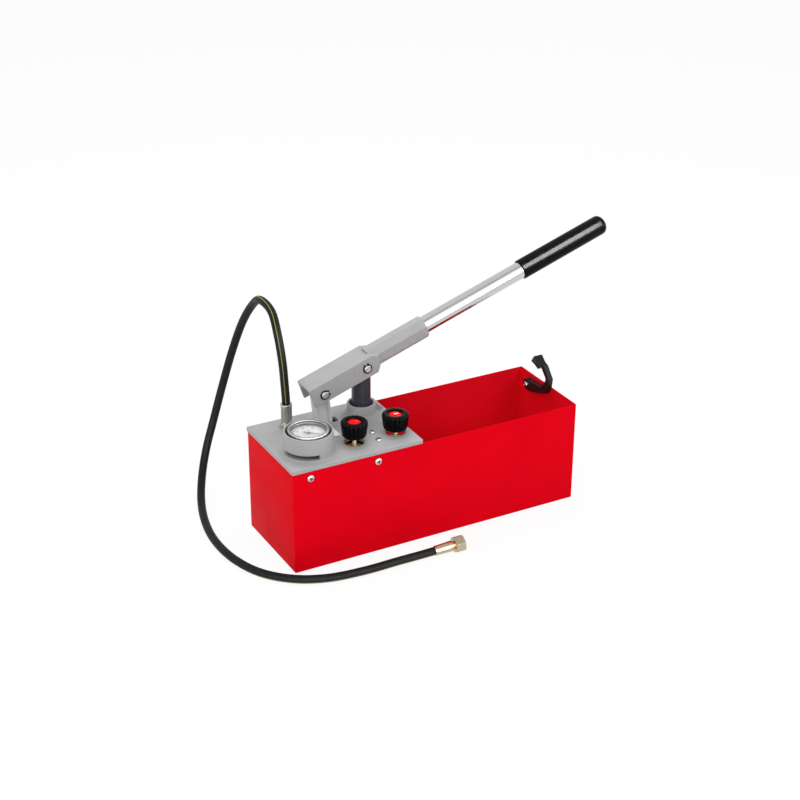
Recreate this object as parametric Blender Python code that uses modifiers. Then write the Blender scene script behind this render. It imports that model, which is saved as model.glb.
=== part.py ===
"""Hydrostatic test pump: a hand lever pump on an open sheet steel water tank.

Metres, +Z up. The origin is the middle of the tank's underside. +X runs along the
tank towards the end with the lever hook, and -Y is the side that the user faces.
Run it with blender --background --python part.py, or from the text editor.
"""

import math

import bmesh
import bpy
from mathutils import Matrix, Vector

# The gap that stands for a working fit between two separate pieces
FIT = 0.0003

# Sides of round pieces, by how large they are
WIDE_ROUND = 32
ROUND = 24
SMALL_ROUND = 12

# Tank
TANK_LENGTH = 0.517
TANK_WIDTH = 0.170
TANK_HEIGHT = 0.175
TANK_WALL = 0.0015
TANK_BEND = 0.0025

# Top plate casting
PLATE_LEFT = -0.260
PLATE_RIGHT = -0.032
PLATE_HALF_WIDTH = 0.0865
PLATE_BOTTOM = TANK_HEIGHT + FIT
PLATE_THICKNESS = 0.006
PLATE_TOP = PLATE_BOTTOM + PLATE_THICKNESS
PLATE_CORNER = 0.005
# How far a feature reaches into the body that it is joined to
ROOTED = 0.002
# Heights that a cutter through the plate starts and ends at
UNDER_PLATE = 0.170
OVER_PLATE = 0.190

# Plate screws, in the tank's long sides
SCREW_XS = (-0.229, -0.112)
SCREW_Z = 0.163
SCREW_SHANK = 0.0027
SCREW_HEAD = 0.006
SCREW_DEPTH = 0.015

# Pressure gauge
GAUGE_X = -0.206
GAUGE_Y = -0.032
COLLAR_OUTER = 0.039
COLLAR_WAIST = 0.0412
COLLAR_INNER = 0.0365
COLLAR_TOP = 0.217
COLLAR_FOOT = 0.0455
DRAIN_LOW = 0.184
DRAIN_HIGH = 0.1915
BEZEL_RADIUS = 0.0326
BEZEL_TOP = 0.2188
DIAL_RADIUS = 0.0288
DIAL_Z = 0.2098

# Pump, lever and link: the axes of the three pins and of the plunger
PUMP_X = -0.074
PUMP_Y = 0.0455
LEVER_PIN = Vector((PUMP_X, PUMP_Y, 0.269))
FULCRUM_PIN = Vector((-0.150, PUMP_Y, 0.240))
ANCHOR_PIN = Vector((-0.140, PUMP_Y, 0.1565))
LEVER_ANGLE = math.radians(18.8)
PIN_RADIUS = 0.006
PIN_STICKS_OUT = 0.0032
CLIP_THICKNESS = 0.001

PLUNGER_RADIUS = 0.0156
PLUNGER_DOME = 0.0105
PLUNGER_FOOT_Z = 0.120
CYLINDER_RADIUS = 0.0215
CYLINDER_BORE = 0.0162
CYLINDER_FOOT_Z = 0.0603
NECK_RADIUS = 0.0190
NECK_TOP = 0.1855
BOSS_RADIUS = 0.0236
BOSS_TOP = 0.2005

# Lever casting, in its own frame: x along the tube, z square to it, origin on the lever pin
CASTING_HALF_WIDTH = 0.0225
CASTING_WALL = 0.0045
CASTING_LEFT = -0.1027
CASTING_FLOOR = -0.0162
CASTING_ROOF = 0.0165
CHANNEL_END = 0.0190
CHANNEL_ROOF = 0.0115
SLEEVE_ACROSS = 0.035
SLEEVE_AXIS = 0.0026
SLEEVE_END = 0.1205
TUBE_AXIS = 0.0040
TUBE_RADIUS = 0.01425
TUBE_WALL = 0.0025
TUBE_START = 0.062
GRIP_START = 0.314
GRIP_END = 0.486
GRIP_RADIUS = 0.0166

# Link arm between the lever and the plate
LINK_HALF_WIDTH = 0.0135
LINK_THICKNESS = 0.014
LINK_EYE = 0.013
ANCHOR_RADIUS = 0.005
ANCHOR_PLAY = 0.0022
ANCHOR_DRIFT = Vector((-0.0073, 0.0, -0.0044))
SLOT_LEFT = -0.166
SLOT_RIGHT = -0.1185
SLOT_HALF_WIDTH = 0.009

# Two valves on one block, under two knobs
KNOB_XS = (-0.1302, -0.0571)
KNOB_Y = -0.0394
KNOB_HOLE = 0.0157
KNOB_BOTTOM = 0.1873
KNOB_HEIGHT = 0.0265
FLUTES = 18
BLOCK_LOW = 0.138
BLOCK_HIGH = 0.163
BLOCK_HALF_WIDTH = 0.014
BONNET_TOP = 0.1725
SEAT_Z = 0.1502
SPINDLE_RADIUS = 0.0034
# The left valve rests open, two and a half turns above its seat
LEFT_LIFT = 0.00375
SADDLE_X = 0.5 * (KNOB_XS[0] + KNOB_XS[1]) + 0.0005
SADDLE_SCREW_STEP = 0.0137
SADDLE_SCREW_SLANT = 0.0015

# Pipes under the plate
PIPE_RADIUS = 0.006
PIPE_Z = 0.152
FEED_RADIUS = 0.005
FEED_Z = 0.053
TEE_HALF = 0.014

# Hose
HOSE_RADIUS = 0.0067
HOSE_X = -0.2019
HOSE_Y = 0.0569
FERRULE_BOTTOM = 0.1848
FERRULE_TOP = 0.2226
NUT_CENTRE = Vector((0.0015, -0.1442, 0.0126))
NUT_HEADING = math.radians(-4.0)
NUT_PITCH = math.radians(4.0)
NUT_ACROSS = 0.024
NUT_LENGTH = 0.0165
END_FERRULE_REAR = -0.0425
END_FERRULE_FRONT = -0.0115

# The hose lies free: up from its ferrule, over behind the tank, down to the floor,
# round the tank's left end and along its front to the union nut
HOSE_ROUTE = (
    (-0.2019, 0.0569, 0.2233),
    (-0.2027, 0.0569, 0.2400),
    (-0.2042, 0.0562, 0.2600),
    (-0.2095, 0.0503, 0.3001),
    (-0.2097, 0.0640, 0.3395),
    (-0.2056, 0.0942, 0.3669),
    (-0.2044, 0.1377, 0.3702),
    (-0.2014, 0.1751, 0.3492),
    (-0.2074, 0.2077, 0.3062),
    (-0.2184, 0.2308, 0.2464),
    (-0.2323, 0.2451, 0.1813),
    (-0.2491, 0.2493, 0.1207),
    (-0.2693, 0.2401, 0.0716),
    (-0.2896, 0.2141, 0.0359),
    (-0.3099, 0.1704, 0.0140),
    (-0.3259, 0.1142, 0.0070),
    (-0.3343, 0.0518, 0.0070),
    (-0.3293, -0.0111, 0.0070),
    (-0.3091, -0.0662, 0.0070),
    (-0.2709, -0.1073, 0.0070),
    (-0.2216, -0.1299, 0.0070),
    (-0.1620, -0.1373, 0.0070),
    (-0.1061, -0.1376, 0.0073),
    (-0.0728, -0.1386, 0.0077),
    (-0.0411, -0.1412, 0.0096),
)
HOSE_STEP = 0.027

# Lever hook on the inside of the tank's right end
HOOK_PIVOT = Vector((0.2521, 0.052, 0.157))
HOOK_HALF_THICKNESS = 0.0045
HOOK_EYE = 0.0095
HOOK_OPENED = math.radians(6.5)
HOOK_PAD_X = -0.0116
HOOK_OUTLINE = (
    (-0.0009, -0.0094),
    (-0.0090, -0.0085),
    (-0.0294, -0.0005),
    (-0.0572, 0.0135),
    (-0.0626, 0.0269),
    (-0.0630, 0.0427),
    (-0.0449, 0.0595),
    (-0.0348, 0.0621),
    (-0.0233, 0.0697),
    (-0.0170, 0.0572),
    (-0.0300, 0.0554),
    (-0.0389, 0.0531),
    (-0.0528, 0.0419),
    (-0.0544, 0.0382),
    (-0.0490, 0.0262),
    (-0.0425, 0.0178),
    (-0.0019, 0.0094),
)
HOOK_PAD = (
    (-0.0449, 0.0595),
    (-0.0348, 0.0621),
    (-0.0233, 0.0697),
    (-0.0170, 0.0572),
    (-0.0300, 0.0554),
    (-0.0389, 0.0531),
)


def clear_scene():
    for obj in list(bpy.data.objects):
        bpy.data.objects.remove(obj)


clear_scene()
parts = bpy.data.collections.new("hydrostatic_test_pump")
guides = bpy.data.collections.new("cutters")
for group in (parts, guides):
    bpy.context.scene.collection.children.link(group)


def material(name, colour, roughness, metallic=0.0):
    made = bpy.data.materials.new(name)
    made.use_nodes = True
    shader = made.node_tree.nodes["Principled BSDF"]
    shader.inputs["Base Color"].default_value = (*colour, 1.0)
    shader.inputs["Roughness"].default_value = roughness
    shader.inputs["Metallic"].default_value = metallic
    return made


RED_PAINT = material("red_paint", (0.72, 0.0, 0.012), 0.35)
GREY_CASTING = material("grey_casting", (0.42, 0.43, 0.42), 0.55)
DARK_STEEL = material("dark_steel", (0.045, 0.05, 0.056), 0.35, 0.8)
BRIGHT_STEEL = material("bright_steel", (0.62, 0.61, 0.58), 0.28, 1.0)
CHROME = material("chrome", (0.80, 0.81, 0.83), 0.12, 1.0)
BRASS = material("brass", (0.66, 0.45, 0.18), 0.30, 1.0)
BLACK_STEEL = material("black_steel", (0.012, 0.012, 0.012), 0.4, 0.3)
BLACK_PLASTIC = material("black_plastic", (0.010, 0.010, 0.010), 0.35)
BLACK_GRIP = material("black_grip", (0.008, 0.008, 0.008), 0.15)
RED_PLASTIC = material("red_plastic", (0.90, 0.008, 0.008), 0.2)
BLUE_SEAL = material("blue_seal", (0.02, 0.09, 0.32), 0.5)
BLACK_RUBBER = material("black_rubber", (0.014, 0.014, 0.014), 0.55)
WHITE_DIAL = material("white_dial", (0.85, 0.85, 0.86), 0.6)
CLEAR_GLASS = material("clear_glass", (0.9, 0.9, 0.9), 0.05)


def add(name, mesh, finish=None):
    """Put a mesh in the scene: a sub-part when it has a finish, otherwise a cutter or another helper."""
    obj = bpy.data.objects.new(name, mesh)
    if finish is None:
        guides.objects.link(obj)
        obj.hide_render = True
        obj.display_type = "WIRE"
        return obj
    parts.objects.link(obj)
    mesh.materials.append(finish)
    mesh.shade_smooth()
    mesh.set_sharp_from_angle(angle=math.radians(35))
    return obj


def mesh_of(name, shape):
    mesh = bpy.data.meshes.new(name)
    shape.to_mesh(mesh)
    shape.free()
    return mesh


def block(name, low, high, finish=None, round_edges=0.0, segments=1, edges="all"):
    """A box between two corners, with all its edges or its upright ones rounded."""
    low, high = (Vector(pick(pair) for pair in zip(low, high)) for pick in (min, max))
    size = high - low
    shape = bmesh.new()
    place = Matrix.Translation((low + high) / 2) @ Matrix.Diagonal((*size, 1))
    bmesh.ops.create_cube(shape, size=1.0, matrix=place)
    if round_edges:
        chosen = [e for e in shape.edges if edges == "all" or upright(e)]
        bmesh.ops.bevel(
            shape, geom=chosen, offset=round_edges, segments=segments, affect="EDGES", profile=0.5
        )
    return add(name, mesh_of(name, shape), finish)


def upright(edge):
    start, end = (v.co for v in edge.verts)
    return abs(start.x - end.x) < 1e-6 and abs(start.y - end.y) < 1e-6


def rod(name, radius, low, high, finish=None, sides=24, centre=(0.0, 0.0), chamfer=0.0):
    """An upright cylinder, or a prism when it has few sides, with its two ends chamfered."""
    shape = bmesh.new()
    place = Matrix.Translation((centre[0], centre[1], (low + high) / 2))
    turn = Matrix.Rotation(math.pi / sides, 4, "Z")
    bmesh.ops.create_cone(
        shape, cap_ends=True, segments=sides, radius1=radius, radius2=radius,
        depth=high - low, matrix=place @ turn,
    )
    if chamfer:
        rims = [e for e in shape.edges if not upright(e)]
        bmesh.ops.bevel(
            shape, geom=rims, offset=chamfer, segments=1, affect="EDGES", profile=0.5
        )
    return add(name, mesh_of(name, shape), finish)


def turned(name, profile, finish=None, steps=32, ring=False):
    """A profile of (radius, height) points turned about Z. A ring's profile closes on itself."""
    mesh = bpy.data.meshes.new(name)
    count = len(profile)
    lines = [(i, i + 1) for i in range(count - 1)]
    if ring:
        lines.append((count - 1, 0))
    mesh.from_pydata([(radius, 0.0, height) for radius, height in profile], lines, [])
    obj = add(name, mesh, finish)
    screw = obj.modifiers.new("turn", "SCREW")
    screw.steps = steps
    screw.render_steps = steps
    screw.use_merge_vertices = True
    screw.merge_threshold = 0.00001
    screw.use_smooth_shade = True
    return obj


def slab(name, outline, thickness, finish=None):
    """A flat outline of (x, y) points filled and given a thickness, half of it each way along Z."""
    curve = bpy.data.curves.new(name, "CURVE")
    curve.dimensions = "2D"
    curve.fill_mode = "BOTH"
    curve.extrude = thickness / 2
    line = curve.splines.new("POLY")
    line.points.add(len(outline) - 1)
    for point, (x, y) in zip(line.points, outline):
        point.co = (x, y, 0.0, 1.0)
    line.use_cyclic_u = True
    return meshed(name, curve, finish)


def meshed(name, curve, finish=None):
    """The closed mesh of a curve, with its caps welded on."""
    helper = bpy.data.objects.new(name + "_curve", curve)
    bpy.context.scene.collection.objects.link(helper)
    graph = bpy.context.evaluated_depsgraph_get()
    mesh = bpy.data.meshes.new_from_object(helper.evaluated_get(graph))
    bpy.data.objects.remove(helper)
    shape = bmesh.new()
    shape.from_mesh(mesh)
    bmesh.ops.remove_doubles(shape, verts=shape.verts, dist=0.000001)
    bmesh.ops.recalc_face_normals(shape, faces=shape.faces)
    shape.to_mesh(mesh)
    shape.free()
    mesh.materials.clear()
    mesh.name = name
    return add(name, mesh, finish)


def arc(centre, radius, start, end, count):
    """Points on an arc, its angles in degrees."""
    for i in range(count + 1):
        angle = math.radians(start + (end - start) * i / count)
        yield (centre[0] + radius * math.cos(angle), centre[1] + radius * math.sin(angle))


def combine(obj, other, operation):
    change = obj.modifiers.new(other.name, "BOOLEAN")
    change.operation = operation
    change.solver = "EXACT"
    change.object = other


def cut(obj, *cutters):
    for cutter in cutters:
        combine(obj, cutter, "DIFFERENCE")


def join(obj, *others):
    for other in others:
        combine(obj, other, "UNION")


def place(obj, location, rotation=(0.0, 0.0, 0.0), parent=None):
    obj.location = location
    obj.rotation_euler = rotation
    obj.parent = parent
    return obj


def frame(name, location, rotation):
    """An empty that stands for a body's own frame."""
    empty = bpy.data.objects.new(name, None)
    parts.objects.link(empty)
    return place(empty, location, rotation)


ALONG_Y = (-math.pi / 2, 0.0, 0.0)
ALONG_X = (0.0, math.pi / 2, 0.0)
IN_XZ = (math.pi / 2, 0.0, 0.0)


def build_tank():
    """An open box of folded sheet, drilled for the plate's screws and the hook's bolt."""
    shape = bmesh.new()
    middle = Matrix.Translation((0, 0, TANK_HEIGHT / 2))
    size = Matrix.Diagonal((TANK_LENGTH, TANK_WIDTH, TANK_HEIGHT, 1))
    bmesh.ops.create_cube(shape, size=1.0, matrix=middle @ size)
    lid = [f for f in shape.faces if f.normal.z > 0.9]
    bmesh.ops.delete(shape, geom=lid, context="FACES_ONLY")
    folds = [e for e in shape.edges if not e.is_boundary]
    bmesh.ops.bevel(
        shape, geom=folds, offset=TANK_BEND, segments=3, affect="EDGES", profile=0.5
    )
    tank = add("tank", mesh_of("tank", shape), RED_PAINT)
    wall = tank.modifiers.new("sheet", "SOLIDIFY")
    wall.thickness = TANK_WALL
    wall.offset = -1.0
    wall.use_even_offset = True
    for i, x in enumerate(SCREW_XS):
        drill = rod(f"tank_drill_{i}", SCREW_SHANK + FIT, -TANK_WIDTH, TANK_WIDTH, sides=SMALL_ROUND)
        cut(tank, place(drill, (x, 0, SCREW_Z), ALONG_Y))
    hook_drill = rod("tank_hook_drill", 0.0033, -0.01, 0.01, sides=SMALL_ROUND)
    cut(tank, place(hook_drill, (TANK_LENGTH / 2, HOOK_PIVOT.y, HOOK_PIVOT.z), ALONG_X))


def plate_body():
    """The flat casting, with lugs that take the side screws behind the tank's walls."""
    plate = block(
        "top_plate",
        (PLATE_LEFT, -PLATE_HALF_WIDTH, PLATE_BOTTOM),
        (PLATE_RIGHT, PLATE_HALF_WIDTH, PLATE_TOP),
        GREY_CASTING, PLATE_CORNER, 3, "upright",
    )
    wall_inside = TANK_WIDTH / 2 - TANK_WALL - FIT
    lug_half, lug_depth, lug_low = 0.009, 0.0155, 0.153
    for i, x in enumerate(SCREW_XS):
        for side in (-1, 1):
            near, far = sorted((side * wall_inside, side * (wall_inside - lug_depth)))
            lug = block(
                f"plate_lug_{i}_{side}",
                (x - lug_half, near, lug_low),
                (x + lug_half, far, PLATE_BOTTOM + ROOTED),
            )
            join(plate, lug)
    for i, x in enumerate(SCREW_XS):
        drill = rod(f"plate_drill_{i}", SCREW_SHANK + FIT, -TANK_WIDTH, TANK_WIDTH, sides=SMALL_ROUND)
        cut(plate, place(drill, (x, 0, SCREW_Z), ALONG_Y))
    return plate


def add_gauge_collar(plate):
    """The round shield that the gauge sits in, with a fillet at its foot and a drain slot."""
    inside_plate = PLATE_TOP - ROOTED
    flare = 0.0045
    profile = [(COLLAR_INNER, COLLAR_TOP), (COLLAR_OUTER - 0.0006, COLLAR_TOP)]
    profile += [(COLLAR_OUTER, COLLAR_TOP - 0.0006)]
    for i in range(3):
        angle = math.radians(45 * i)
        radius = COLLAR_FOOT - (COLLAR_FOOT - COLLAR_WAIST) * math.cos(angle)
        profile.append((radius, PLATE_TOP + flare * (1 - math.sin(angle))))
    profile += [(COLLAR_FOOT, inside_plate), (COLLAR_INNER, inside_plate)]
    collar = turned("gauge_collar", profile, steps=WIDE_ROUND, ring=True)
    join(plate, place(collar, (GAUGE_X, GAUGE_Y, 0)))
    reach = COLLAR_FOOT + 0.004
    drain = block(
        "drain_slot",
        (GAUGE_X - reach, GAUGE_Y - reach, DRAIN_LOW),
        (GAUGE_X, GAUGE_Y, DRAIN_HIGH),
    )
    stem_hole = rod(
        "gauge_stem_hole", 0.012, UNDER_PLATE, OVER_PLATE, sides=16, centre=(GAUGE_X, GAUGE_Y)
    )
    cut(plate, drain, stem_hole)


def add_pump_boss(plate):
    """The boss that the cylinder screws into from below, braced by three gussets."""
    foot, inside_plate = 0.028, PLATE_TOP - ROOTED
    profile = [(0, BOSS_TOP), (BOSS_RADIUS - 0.001, BOSS_TOP), (BOSS_RADIUS, BOSS_TOP - 0.001)]
    profile += [(BOSS_RADIUS, PLATE_TOP + 0.008), (BOSS_RADIUS + 0.0009, PLATE_TOP + 0.0035)]
    profile += [(foot - 0.0012, PLATE_TOP + 0.001), (foot, PLATE_TOP)]
    profile += [(foot, inside_plate), (0, inside_plate)]
    join(plate, place(turned("pump_boss", profile, steps=ROUND), (PUMP_X, PUMP_Y, 0)))
    gussets = ((0, 0.0385, 0.0170), (180, 0.037, 0.0150), (44, 0.050, 0.0160))
    for i, (heading, reach, height) in enumerate(gussets):
        web = slab(
            f"boss_gusset_{i}",
            (
                (0.0, inside_plate),
                (reach, inside_plate),
                (reach, PLATE_TOP + 0.0006),
                (BOSS_RADIUS - 0.001, PLATE_TOP + height),
                (0.0, PLATE_TOP + height),
            ),
            0.0055,
        )
        join(plate, place(web, (PUMP_X, PUMP_Y, 0), (math.pi / 2, 0, math.radians(heading))))
    bore = rod(
        "boss_bore", NECK_RADIUS + FIT, UNDER_PLATE, BOSS_TOP + 0.01, sides=ROUND,
        centre=(PUMP_X, PUMP_Y),
    )
    cut(plate, bore)


def add_link_anchor(plate):
    """The slot that the link passes through, and the two cheeks under it that hold the anchor pin."""
    cheek_radius, cheek = 0.0105, 0.005
    top = PLATE_BOTTOM + ROOTED
    outline = list(arc((ANCHOR_PIN.x, ANCHOR_PIN.z), cheek_radius, 180, 360, 10))
    outline += [(ANCHOR_PIN.x + 0.015, top), (ANCHOR_PIN.x - 0.015, top)]
    for side in (-1, 1):
        wall = slab(f"anchor_cheek_{side}", outline, cheek)
        y = PUMP_Y + side * (SLOT_HALF_WIDTH + cheek / 2)
        join(plate, place(wall, (0, y, 0), IN_XZ))
    pin_hole = rod("anchor_hole", ANCHOR_RADIUS + FIT, -0.02, 0.02, sides=16)
    slot = block(
        "link_slot",
        (SLOT_LEFT, PUMP_Y - SLOT_HALF_WIDTH, UNDER_PLATE),
        (SLOT_RIGHT, PUMP_Y + SLOT_HALF_WIDTH, OVER_PLATE),
        None, 0.005, 3, "upright",
    )
    cut(plate, place(pin_hole, ANCHOR_PIN, ALONG_Y), slot)


def saddle_screw_spot(side):
    return (SADDLE_X + side * SADDLE_SCREW_SLANT, KNOB_Y + side * SADDLE_SCREW_STEP)


def build_top_plate():
    plate = plate_body()
    add_gauge_collar(plate)
    add_pump_boss(plate)
    add_link_anchor(plate)
    inside_plate = PLATE_TOP - ROOTED
    pad = block(
        "machined_pad", (-0.165, -0.012, inside_plate), (-0.140, 0.0305, PLATE_TOP + 0.002),
        None, 0.002, 2, "upright",
    )
    ring = rod("hose_boss", 0.0125, inside_plate, 0.1843, sides=24, centre=(HOSE_X, HOSE_Y))
    join(plate, pad, ring)
    holes = [("hose_hole", 0.0075, 16, HOSE_X, HOSE_Y)]
    holes += [(f"knob_hole_{i}", KNOB_HOLE, ROUND, x, KNOB_Y) for i, x in enumerate(KNOB_XS)]
    for side in (-1, 1):
        x, y = saddle_screw_spot(side)
        holes.append((f"saddle_hole_{side}", 0.0028, SMALL_ROUND, x, y))
    for name, radius, sides, x, y in holes:
        cut(plate, rod(name, radius, UNDER_PLATE, OVER_PLATE, sides=sides, centre=(x, y)))


def build_plate_screws():
    """Four pan-head screws that hold the casting to the tank's long sides."""
    head_foot, head_height = TANK_WIDTH / 2 + FIT, 0.0033
    profile = (
        (0, head_foot + head_height),
        (SCREW_HEAD * 0.45, head_foot + head_height * 0.93),
        (SCREW_HEAD * 0.85, head_foot + head_height * 0.62),
        (SCREW_HEAD, head_foot + head_height * 0.25),
        (SCREW_HEAD, head_foot),
        (SCREW_SHANK, head_foot),
        (SCREW_SHANK, head_foot - SCREW_DEPTH),
        (0, head_foot - SCREW_DEPTH),
    )
    for i, x in enumerate(SCREW_XS):
        for side, word in ((-1, "front"), (1, "back")):
            screw = turned(f"plate_screw_{word}_{i + 1}", profile, BRIGHT_STEEL, SMALL_ROUND)
            place(screw, (x, 0, SCREW_Z), (-side * math.pi / 2, 0, 0))


def build_cylinder():
    """The pump barrel, its blue rod wiper and gland ring, the suction valve and the strainer."""
    floor = CYLINDER_FOOT_Z + 0.005
    port = 0.008
    barrel = (
        (CYLINDER_BORE, NECK_TOP),
        (NECK_RADIUS, NECK_TOP),
        (NECK_RADIUS, PLATE_BOTTOM - FIT - 0.0002),
        (CYLINDER_RADIUS, PLATE_BOTTOM - FIT - 0.0002),
        (CYLINDER_RADIUS, CYLINDER_FOOT_Z),
        (port, CYLINDER_FOOT_Z),
        (port, floor),
        (CYLINDER_BORE, floor),
    )
    axis = (PUMP_X, PUMP_Y, 0)
    place(turned("pump_cylinder", barrel, BRIGHT_STEEL, ROUND, True), axis)

    def seal(name, low, high, finish):
        inner, outer, ease = PLUNGER_RADIUS + FIT, NECK_RADIUS, 0.0008
        loop = ((inner + ease, high), (outer, high), (outer, low), (inner, low), (inner, high - ease))
        place(turned(name, loop, finish, ROUND, True), axis)

    seal("gland_ring", NECK_TOP + FIT, 0.1888, BRASS)
    seal("rod_wiper", 0.1888 + FIT, 0.1945, BLUE_SEAL)
    top, hex_top, hex_low, stem_low = 0.0650, 0.0600, 0.046, 0.022
    stem = 0.009
    foot = (
        (0, top),
        (port - FIT, top),
        (port - FIT, hex_top - 0.001),
        (stem + 0.004, hex_top - 0.001),
        (stem + 0.004, hex_low),
        (stem, hex_low - 0.002),
        (stem, stem_low),
        (0, stem_low),
    )
    valve = place(turned("suction_valve", foot, BRASS, 18), axis)
    across = 0.036
    hexagon = rod("suction_hex", across / math.sqrt(3), hex_low, hex_top, sides=6, chamfer=0.001)
    join(valve, place(hexagon, axis, (0, 0, math.pi / 6)))
    port_hole = rod("feed_port", FEED_RADIUS + FIT, 0.0, 0.02, sides=16)
    cut(valve, place(port_hole, (PUMP_X, PUMP_Y - 0.031, FEED_Z), ALONG_Y))
    basket, skin, low, high = 0.015, 0.0012, 0.007, 0.030
    screen = (
        (0, low + skin),
        (basket - skin, low + skin),
        (basket - skin, high - skin),
        (stem + FIT, high - skin),
        (stem + FIT, high),
        (basket, high),
        (basket, low),
        (0, low),
    )
    strainer = place(turned("suction_strainer", screen, BRASS, 18), axis)
    for i in range(4):
        slit = block(f"strainer_slit_{i}", (-0.02, -0.0015, 0.0105), (0.02, 0.0015, 0.0265))
        cut(strainer, place(slit, axis, (0, 0, math.pi * (i + 0.5) / 4)))


def build_plunger():
    """The plunger has a domed head drilled for the lever pin, and a packing ring near its foot."""
    foot = PLUNGER_FOOT_Z - LEVER_PIN.z
    slope = PLUNGER_DOME / math.sqrt(2)
    shoulder = 2 * slope - PLUNGER_RADIUS
    groove_low, groove_high, groove = foot + 0.0045, foot + 0.0135, 0.0135
    profile = (
        (0, PLUNGER_DOME),
        (PLUNGER_DOME * math.sin(math.radians(22)), PLUNGER_DOME * math.cos(math.radians(22))),
        (slope, slope),
        (PLUNGER_RADIUS, shoulder),
        (PLUNGER_RADIUS, groove_high),
        (groove, groove_high),
        (groove, groove_low),
        (PLUNGER_RADIUS, groove_low),
        (PLUNGER_RADIUS, foot + 0.001),
        (PLUNGER_RADIUS - 0.001, foot),
        (0, foot),
    )
    plunger = place(turned("plunger", profile, DARK_STEEL, ROUND), LEVER_PIN)
    eye = rod("plunger_eye", PIN_RADIUS + FIT, -0.02, 0.02, sides=16)
    cut(plunger, place(eye, LEVER_PIN, ALONG_Y))
    inner, outer = groove + FIT, CYLINDER_BORE - FIT
    low, high = groove_low + FIT, groove_high - FIT
    loop = ((inner, high), (outer, high), (outer, low), (inner, low))
    place(turned("plunger_packing", loop, BLACK_RUBBER, ROUND, True), LEVER_PIN)


LEVER = frame("lever_frame", LEVER_PIN, (0.0, -LEVER_ANGLE, 0.0))
LINK_LEAN = math.atan2(ANCHOR_PIN.x - FULCRUM_PIN.x, FULCRUM_PIN.z - ANCHOR_PIN.z)
LINK = frame("link_frame", FULCRUM_PIN, (0.0, -LINK_LEAN, 0.0))
FULCRUM = Matrix.Rotation(LEVER_ANGLE, 4, "Y") @ (FULCRUM_PIN - LEVER_PIN)


def build_lever_casting():
    """A cast box open below and at its left end, which ends in an eight-sided sleeve for the tube."""
    left, floor, roof = CASTING_LEFT, CASTING_FLOOR, CASTING_ROOF
    outline = (
        (left, floor),
        (0.0158, floor),
        (0.0228, floor + 0.0096),
        (0.0262, floor + 0.0180),
        (0.0262, roof - 0.0060),
        (0.0144, roof),
        (left, roof),
    )
    casting = slab("lever_casting", outline, 2 * CASTING_HALF_WIDTH, GREY_CASTING)
    place(casting, (0, 0, 0), IN_XZ, LEVER)
    sleeve = rod(
        "lever_sleeve", SLEEVE_ACROSS / 2 / math.cos(math.pi / 8), 0.012, SLEEVE_END,
        sides=8, chamfer=0.0012,
    )
    place(sleeve, (0, 0, SLEEVE_AXIS), ALONG_X, LEVER)
    join(casting, sleeve)
    inside = CASTING_HALF_WIDTH - CASTING_WALL
    corner = 0.012
    arch = [(-inside, -0.03), (inside, -0.03)]
    arch += list(arc((inside - corner, CHANNEL_ROOF - corner), corner, 0, 90, 4))
    arch += list(arc((corner - inside, CHANNEL_ROOF - corner), corner, 90, 180, 4))
    length = CHANNEL_END - left + 0.01
    channel = slab("lever_channel", arch, length)
    place(channel, (CHANNEL_END - length / 2, 0, 0), (math.pi / 2, 0, math.pi / 2), LEVER)
    bore = rod("sleeve_bore", TUBE_RADIUS + FIT, TUBE_START - FIT, 0.14, sides=ROUND)
    place(bore, (0, 0, TUBE_AXIS), ALONG_X, LEVER)
    cut(casting, channel, bore)
    for i, spot in enumerate(((0.0, 0.0, 0.0), FULCRUM)):
        hole = rod(f"lever_hole_{i}", PIN_RADIUS + FIT, -0.03, 0.03, sides=16)
        cut(casting, place(hole, spot, ALONG_Y, LEVER))


def build_lever_tube():
    """The chromed tube, and the black grip pushed over its end."""
    inner = TUBE_RADIUS - TUBE_WALL
    tube_end = GRIP_END - 0.008
    wall = (
        (inner, tube_end),
        (TUBE_RADIUS, tube_end),
        (TUBE_RADIUS, TUBE_START),
        (inner, TUBE_START),
    )
    tube = turned("lever_tube", wall, CHROME, ROUND, True)
    place(tube, (0, 0, TUBE_AXIS), ALONG_X, LEVER)
    bore = TUBE_RADIUS + FIT
    tip = GRIP_END
    skin = [(0, tip), (0.0073, tip - 0.0005), (0.0122, tip - 0.0022), (0.0153, tip - 0.0058)]
    skin += [(GRIP_RADIUS, tip - 0.0115), (GRIP_RADIUS, GRIP_START + 0.0015)]
    skin += [(GRIP_RADIUS - 0.0008, GRIP_START), (bore, GRIP_START)]
    skin += [(bore, tube_end + FIT), (0, tube_end + FIT)]
    grip = turned("lever_grip", skin, BLACK_GRIP, ROUND)
    place(grip, (0, 0, TUBE_AXIS), ALONG_X, LEVER)


def clip_outline(inner, outer, gap):
    """A retaining ring: an open ring whose two ends carry ears."""
    ear = outer + 0.0016
    outline = list(arc((0, 0), outer, 90 + gap + 16, 450 - gap - 16, 12))
    outline += list(arc((0, 0), ear, 450 - gap - 14, 450 - gap, 1))
    outline += list(arc((0, 0), inner, 450 - gap, 90 + gap, 12))
    outline += list(arc((0, 0), ear, 90 + gap, 90 + gap + 14, 1))
    return outline


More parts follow.
